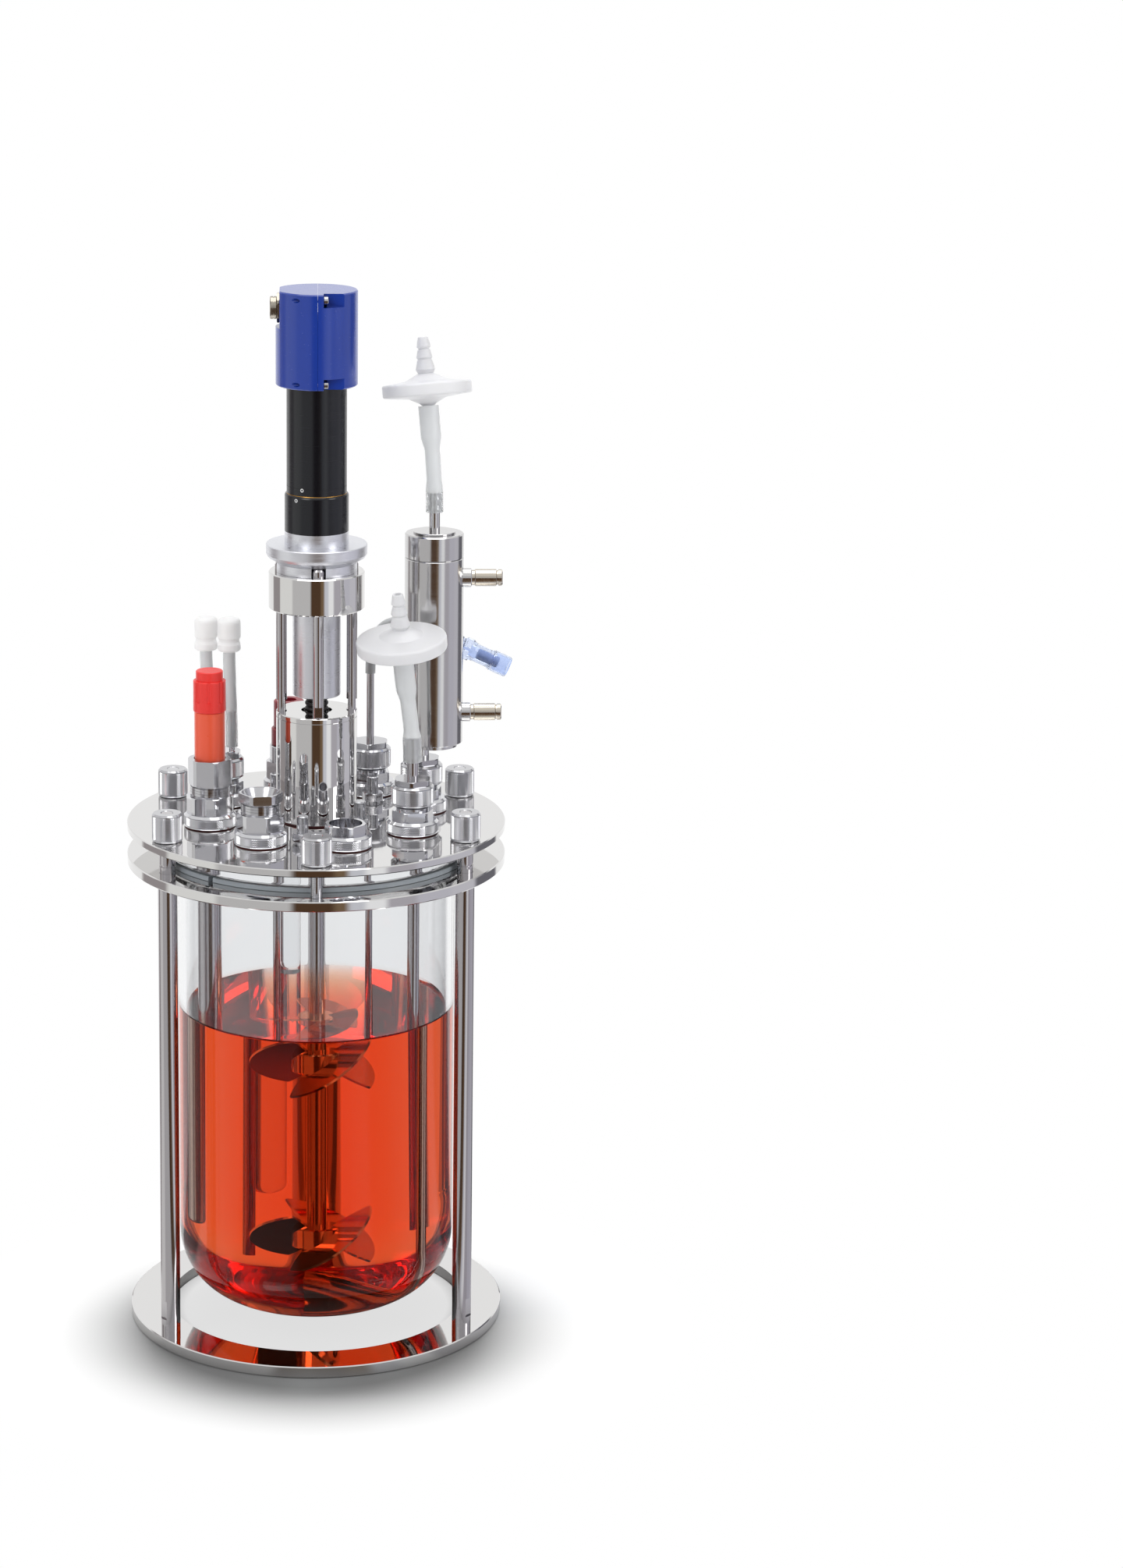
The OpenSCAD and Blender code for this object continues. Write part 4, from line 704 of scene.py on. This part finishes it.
class BIOREACTOR_OT_glass(bpy.types.Operator):
    """Dress the glass vessel and pour the medium, which climbs the wall a little at its edge"""
    bl_idname = "bioreactor.glass"
    bl_label = "Glass and medium"

    def execute(self, context):
        finish = context.scene.bioreactor_finish
        dress("vessel", borosilicate())
        overlap = 0.15 * MM        # into the wall, so that no film of air shows between the two
        top = high("culture_medium").z
        bottom = low("culture_medium").z - overlap
        radius = high("culture_medium").x + overlap
        corner, corner_steps = 32 * MM, 24
        profile = [(0, bottom)]
        for k in range(corner_steps + 1):
            a = math.pi / 2 * k / corner_steps
            profile.append((radius - corner + corner * math.sin(a), bottom + corner - corner * math.cos(a)))
        climb, reach, steepness, edge_steps = 1.6 * MM, 2.6 * MM, 2.4, 8
        for k in range(edge_steps + 1):
            share = k / edge_steps
            profile.append((radius - reach * share, top + climb * (1 - share) ** steepness))
        profile.append((0, top))
        dyed = medium_liquid(finish.medium_colour, finish.medium_strength)
        piece = shape_object("culture", lathe(profile, steps=256), dyed, smooth=70)
        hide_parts("culture_medium")
        return {"FINISHED"}


class BIOREACTOR_OT_knurls(bpy.types.Operator):
    """Cut the diamond knurls of the clamp nuts, the port caps and the ports' collars"""
    bl_idname = "bioreactor.knurls"
    bl_label = "Knurls"

    def execute(self, context):
        sizes = context.scene.bioreactor_knurls
        tree = knurl_tree()
        steel = turned_metal("knurled stainless steel", "#c3c3c6", 0.13, 0.15)
        sunk = 0.05 * MM        # the teeth's roots stand in the plain metal

        def band(centre, outer, bottom, top):
            return grown(tree, {
                "Centre": centre, "Root": outer - sizes.depth - sunk, "Low": bottom, "High": top,
                "Pitch": sizes.pitch, "Row pitch": sizes.row_pitch, "Depth": sizes.depth + sunk,
                "Finish": steel})

        for name in NUTS + CAPS:
            dress(name, steel)
            a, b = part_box(name)
            # a nut is knurled between its chamfers, a cap below its hexagon
            if name in NUTS:
                bottom, top = a.z + 1.0 * MM, b.z - 1.3 * MM
            else:
                bottom, top = b.z - 12.7 * MM, b.z - 4.5 * MM
            grip = band(middle(name), (b.x - a.x) / 2, bottom, top)
            shape_object("knurl_of_" + name, grip, steel, name, 20)
        collar = 13.5 * MM
        bands = [band(port, collar, PLATE_TOP + 1.2 * MM, PLATE_TOP + 5.8 * MM) for port in PORTS]
        shape_object("collar_knurls", joined(bands), steel, smooth=20)
        return {"FINISHED"}


class BIOREACTOR_OT_threads(bpy.types.Operator):
    """Cut the threads of the clamp studs, the plate's plugs and the probe ports' necks"""
    bl_idname = "bioreactor.threads"
    bl_label = "Screw threads"

    def execute(self, context):
        sizes = context.scene.bioreactor_knurls
        tree = thread_tree()
        steel = turned_metal("rolled thread", "#c3c3c6", 0.16, 0.2)
        stud, neck = (2.5 * MM, 3.0 * MM), (9.6 * MM, 10.2 * MM)        # root and crest radii
        places = [(around(STUD_RADIUS, angle), stud, RING_TOP + 0.3 * MM, PLATE_TOP - 4.3 * MM,
                   sizes.stud_pitch) for angle in STUD_ANGLES]
        places += [(around(radius, angle), stud, PLATE_TOP + 6.0 * MM, PLATE_TOP + 13.6 * MM,
                    sizes.stud_pitch) for angle, radius in PLUGS]
        places += [(place, neck, PLATE_TOP + 17.0 * MM, PLATE_TOP + 22.2 * MM, sizes.neck_pitch)
                   for place in (middle("probe_sleeve"), Vector((SPARE.x, SPARE.y, 0)))]
        turns = [grown(tree, {"Centre": centre, "Root": root, "Crest": crest, "Low": bottom,
                              "High": top, "Pitch": pitch, "Finish": steel})
                 for centre, (root, crest), bottom, top, pitch in places]
        shape_object("screw_threads", joined(turns), steel, smooth=25)
        return {"FINISHED"}


class BIOREACTOR_OT_hoses(bpy.types.Operator):
    """Fit the silicone hoses that join the pipes to the filters, the valve and the caps"""
    bl_idname = "bioreactor.hoses"
    bl_label = "Silicone hoses"

    def execute(self, context):
        finish = context.scene.bioreactor_finish
        rise = Vector((0, 0, MM))
        wide, thin = finish.hose_wall, finish.thin_wall
        gas = middle("cap_gas") + Vector((0, 0, high("cap_gas").z))
        sample = middle("cap_sample") + Vector((0, 0, high("cap_sample").z))
        feed = middle("cap_feed") + Vector((0, 0, high("cap_feed").z))
        pipe = middle("cap_condenser") + Vector((6 * MM, 0, 420 * MM))
        gas_axis, gas_foot = leaning(8, -5), gas + Vector((-6, -3.7, 72)) * MM
        vent_axis, vent_foot = leaning(-9.7, -4.9), pipe + Vector((-4.2, 4.5, 74.6)) * MM
        valve_axis, valve_foot = leaning(0, 115), sample + Vector((46, 0, 52.6)) * MM
        # start, its handle, the end's handle and the end, then the outer radii in mm at the
        # start, between and at the end, and the wall
        routes = [
            (gas + 9 * rise, gas + 30 * rise, gas_foot - 34 * MM * gas_axis,
             gas_foot - 8.6 * MM * gas_axis, 4.9, 4.0, 5.3, wide),
            (pipe + 11 * rise, pipe + 32 * rise, vent_foot - 34 * MM * vent_axis,
             vent_foot - 8.6 * MM * vent_axis, 4.5, 3.95, 5.3, wide),
            (sample + 37 * rise, sample + 76 * rise, valve_foot - 30 * MM * valve_axis + 2 * rise,
             valve_foot - 0.6 * MM * valve_axis, 2.7, 2.4, 2.5, thin)]
        for side, (x, y) in ((-4.8, (-8.6, 1.5)), (4.8, (3.6, -1.5))):
            base, head = feed + Vector((side, 0, 0)) * MM, feed + Vector((x, y, 59.4)) * MM
            routes.append((base + 2.4 * rise, base + 30 * rise, head - 24 * rise, head - 5.4 * rise,
                           3.2, 3.1, 3.3, wide))
        # two hoses are clear up to about the end of the gas pipe and of the exhaust pipe
        over_gas, over_exhaust = 21.5 * MM, 21 * MM
        clear = silicone([(gas.z, gas.z + over_gas), (pipe.z, pipe.z + over_exhaust)])
        tree = hose_tree()
        hoses = [grown(tree, {"Start": a, "Start handle": b, "End handle": c, "End": d,
                              "First radius": first * MM, "Middle radius": mid * MM,
                              "Last radius": last * MM, "Wall": wall, "Finish": clear})
                 for a, b, c, d, first, mid, last, wall in routes]
        piece = shape_object("hoses", joined(hoses), clear, smooth=60)
        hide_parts("silicone_hoses")
        return {"FINISHED"}


# ---------- stage ----------

# what stands round the studio, by its left edge in degrees from the front, positive to the right:
# grey walls, lit paper, brown woodwork in front, and dark flags that draw edges on polished steel
ROOM = ((-180, "#ffffff"), (-126, "#a19b9c"), (-98, "#eeeeec"), (-60, "#cbcaca"), (-14, "#553f2e"),
        (10, "#7c6750"), (18, "#d6d8e0"), (28, "#fcfdff"), (41, "#b9b6bd"), (60, "#c9c8d2"),
        (85, "#cfced6"), (108, "#727178"), (136, "#ffffff"))
SOFT_EDGE = 2.0        # degrees to each side of an edge


def room_colour(tree, place):
    """What polished steel mirrors in the direction of a place: the room, by its compass angle.
    The parts of the place are given back with it."""
    parts = add(tree, "ShaderNodeSeparateXYZ", {0: place})
    front = add(tree, "ShaderNodeMath", {0: parts.outputs[1], 1: -1.0}, operation="MULTIPLY")
    angle = add(tree, "ShaderNodeMath", {0: parts.outputs[0], 1: front.outputs[0]},
                operation="ARCTAN2")
    turn = add(tree, "ShaderNodeMapRange", {"Value": angle.outputs[0], "From Min": -math.pi,
                                            "From Max": math.pi})
    walls = add(tree, "ShaderNodeValToRGB", {0: turn.outputs["Result"]})
    stops = [(0.0, ROOM[0][1])]
    for (edge, after), (_, before) in zip(ROOM[1:], ROOM):
        stops += [((edge - SOFT_EDGE + 180) / 360, before), ((edge + SOFT_EDGE + 180) / 360, after)]
    while len(walls.color_ramp.elements) < len(stops):
        walls.color_ramp.elements.new(1.0)
    for element, (at, colour) in zip(walls.color_ramp.elements, stops):
        element.position, element.color = at, linear(colour)
    return walls.outputs[0], parts.outputs


def floor_material():
    """A sheet of white paper: it shows white to the camera away from the object's shadow, and polished
    steel sees the room's walls standing beyond it. That white is painted light, mixed in by distance, which
    fades the real shadow out sooner at the sides than in front; painted light also brightens the floor
    inside the base ring, which the vessel shades. Distances on it are in metres."""
    made, tree, out = new_material("white studio floor")
    place = add(tree, "ShaderNodeTexCoord").outputs["Object"]
    path = add(tree, "ShaderNodeLightPath")
    # painted light: white is mixed over the matt floor by distance from a point 25 mm in front of the axis,
    # so the real shadow is painted out sooner at the sides and back than in front
    forward = add(tree, "ShaderNodeVectorMath", {0: place, 1: (0, 0.025, 0)}, operation="ADD")
    away = add(tree, "ShaderNodeVectorMath", {0: place}, operation="LENGTH")
    off = add(tree, "ShaderNodeVectorMath", {0: forward.outputs[0]}, operation="LENGTH")
    matt = add(tree, "ShaderNodeBsdfDiffuse", {"Color": linear("#7f7f7f")})
    shine = add(tree, "ShaderNodeEmission", {"Color": linear("#ffffff"), "Strength": 1.0})
    beyond = add(tree, "ShaderNodeMapRange", {"Value": off.outputs["Value"], "From Min": 0.085,
                                              "From Max": 0.2})
    # painted light: the floor inside the base ring, which the vessel shades from the floor lamp, is lit up
    # with white
    painted_light_inside_ring = add(tree, "ShaderNodeMapRange", {"Value": away.outputs["Value"], "From Min": 0.07,
                                              "From Max": 0.09, "To Min": 0.72, "To Max": 0.0})
    share = add(tree, "ShaderNodeMath", {0: beyond.outputs["Result"], 1: painted_light_inside_ring.outputs["Result"]},
                operation="MAXIMUM")
    paper = add(tree, "ShaderNodeMixShader", {0: share.outputs[0], 1: matt.outputs[0],
                                              2: shine.outputs[0]})
    wall = add(tree, "ShaderNodeEmission", {"Color": room_colour(tree, place)[0], "Strength": 1.0})
    far = add(tree, "ShaderNodeMapRange", {"Value": away.outputs["Value"], "From Min": 0.095,
                                           "From Max": 0.14})
    mirrored = add(tree, "ShaderNodeMixShader", {0: far.outputs["Result"], 1: matt.outputs[0],
                                                 2: wall.outputs[0]})
    bounced = add(tree, "ShaderNodeMath", {0: path.outputs["Glossy Depth"], 1: 0.5},
                  operation="GREATER_THAN")
    seen = add(tree, "ShaderNodeMixShader", {0: bounced.outputs[0], 1: paper.outputs[0],
                                             2: mirrored.outputs[0]})
    lit = add(tree, "ShaderNodeMixShader", {0: path.outputs["Is Diffuse Ray"], 1: seen.outputs[0],
                                            2: matt.outputs[0]})
    tree.links.new(lit.outputs[0], out.inputs["Surface"])
    return made


def studio_world():
    """White behind the object and through its glass, soft light on it, and in its polished
    faces the room's walls, with a pale window above the woodwork and a pale ceiling over all."""
    world = bpy.data.worlds.new("studio")
    world.use_nodes = True
    tree = world.node_tree
    tree.nodes.clear()
    path = add(tree, "ShaderNodeLightPath")
    walls, (_, depth, height) = room_colour(tree, add(tree, "ShaderNodeTexCoord").outputs["Generated"])
    ahead = add(tree, "ShaderNodeMapRange", {"Value": depth, "From Min": -0.1, "From Max": -0.3})
    over = add(tree, "ShaderNodeMapRange", {"Value": height, "From Min": 0.04, "From Max": 0.14})
    both = add(tree, "ShaderNodeMath", {0: ahead.outputs["Result"], 1: over.outputs["Result"]},
               operation="MULTIPLY")
    window = add(tree, "ShaderNodeMix", {0: both.outputs[0], 6: walls, 7: (0.6, 0.6, 0.62, 1)},
                 data_type="RGBA")
    up = add(tree, "ShaderNodeMapRange", {"Value": height, "From Min": 0.42, "From Max": 0.6})
    tone = add(tree, "ShaderNodeMix", {0: up.outputs["Result"], 6: window.outputs[2],
                                       7: (0.86, 0.86, 0.86, 1)}, data_type="RGBA")
    room = add(tree, "ShaderNodeBackground", {"Color": tone.outputs[2], "Strength": 1.0})
    soft = add(tree, "ShaderNodeBackground", {"Color": (1, 1, 1, 1), "Strength": 0.6})
    white = add(tree, "ShaderNodeBackground", {"Color": (1, 1, 1, 1), "Strength": 1.0})
    bounced = add(tree, "ShaderNodeMath", {0: path.outputs["Glossy Depth"], 1: 0.5},
                  operation="GREATER_THAN")
    seen = add(tree, "ShaderNodeMixShader", {0: bounced.outputs[0], 1: white.outputs[0],
                                             2: room.outputs[0]})
    lit = add(tree, "ShaderNodeMixShader", {0: path.outputs["Is Diffuse Ray"], 1: seen.outputs[0],
                                            2: soft.outputs[0]})
    add(tree, "ShaderNodeOutputWorld", {"Surface": lit.outputs[0]})
    return world


class BIOREACTOR_OT_stage(bpy.types.Operator):
    """Set the floor, the room, the lamps and the camera"""
    bl_idname = "bioreactor.stage"
    bl_label = "Floor, lamps and camera"

    def execute(self, context):
        scene = context.scene
        stage = scene.bioreactor_stage
        scene.view_settings.view_transform = "Standard"
        form = bmesh.new()
        bmesh.ops.create_grid(form, x_segments=2, y_segments=2, size=8)
        mesh = bpy.data.meshes.new("floor")
        form.to_mesh(mesh)
        form.free()
        mesh.materials.append(floor_material())
        floor = bpy.data.objects.new("floor", mesh)
        scene.collection.objects.link(floor)
        scene.world = studio_world()

        floor_only = bpy.data.collections.new("lit by the floor lamp")
        floor_only.objects.link(floor)
        middle_height = Vector((0, 0, 0.25))
        # each lamp's place and size in metres, and its power in watts
        for name, place, size, power in (
                ("key softbox", (-1.3, -1.5, 1.7), (1.0, 1.4), 16),
                ("fill softbox", (1.7, -1.0, 1.1), (0.8, 1.5), 9),
                ("top softbox", (0.1, 0.3, 2.2), (1.8, 1.8), 20),
                ("floor lamp", (0.0, 0.25, 2.2), (0.4, 0.4), 210)):
            lamp = bpy.data.lights.new(name, "AREA")
            lamp.shape = "RECTANGLE"
            lamp.size, lamp.size_y = size
            lamp.energy = power
            box = bpy.data.objects.new(name, lamp)
            box.location = place
            aim = middle_height - Vector(place)
            box.rotation_euler = aim.to_track_quat("-Z", "Y").to_euler()
            scene.collection.objects.link(box)
            if name == "floor lamp":
                box.light_linking.receiver_collection = floor_only

        lens = bpy.data.cameras.new("camera")
        lens.lens = stage.lens
        lens.sensor_width = 36
        lens.shift_y = stage.shift
        lens.clip_end = 50
        camera = bpy.data.objects.new("camera", lens)
        camera.location = (0, -stage.distance, stage.height)
        level = Euler((math.pi / 2 - stage.pitch, 0, -stage.yaw)).to_matrix()
        camera.rotation_euler = (level @ Matrix.Rotation(stage.roll, 3, "Z")).to_euler()
        scene.collection.objects.link(camera)
        scene.camera = camera
        # enough for light to pass the glass, the medium, what stands in it, and the glass again
        scene.cycles.max_bounces = 24
        scene.cycles.transmission_bounces = 20
        scene.cycles.glossy_bounces = 8
        scene.cycles.transparent_max_bounces = 24
        scene.cycles.caustics_reflective = False
        scene.cycles.caustics_refractive = False
        return {"FINISHED"}


STEPS = (BIOREACTOR_OT_stage, BIOREACTOR_OT_hoses, BIOREACTOR_OT_steel, BIOREACTOR_OT_motor,
         BIOREACTOR_OT_plastics, BIOREACTOR_OT_glass, BIOREACTOR_OT_knurls, BIOREACTOR_OT_threads)
SETTINGS = {"bioreactor_knurls": BioreactorKnurls, "bioreactor_finish": BioreactorFinish,
            "bioreactor_stage": BioreactorStage}


class BIOREACTOR_PT_panel(bpy.types.Panel):
    """Sizes and colours, and a button for each step"""
    bl_idname = "BIOREACTOR_PT_panel"
    bl_label = "Bioreactor"
    bl_space_type = "VIEW_3D"
    bl_region_type = "UI"
    bl_category = "Bioreactor"

    def draw(self, context):
        for group in SETTINGS:
            values = getattr(context.scene, group)
            for name in values.bl_rna.properties.keys():
                if name not in ("rna_type", "name"):
                    self.layout.prop(values, name)
        for step in STEPS:
            self.layout.operator(step.bl_idname)


CLASSES = (*SETTINGS.values(), *STEPS, BIOREACTOR_PT_panel)


def register():
    """Adds the classes and the settings to Blender."""
    for made in CLASSES:
        bpy.utils.register_class(made)
    for group, kind in SETTINGS.items():
        setattr(bpy.types.Scene, group, PointerProperty(type=kind))


def unregister():
    """Takes the settings and the classes away again."""
    for group in SETTINGS:
        delattr(bpy.types.Scene, group)
    for made in reversed(CLASSES):
        bpy.utils.unregister_class(made)


def main():
    """Makes every piece in order."""
    register()
    for step in STEPS:
        group, name = step.bl_idname.split(".")
        getattr(getattr(bpy.ops, group), name)()


if __name__ == "__main__":
    main()
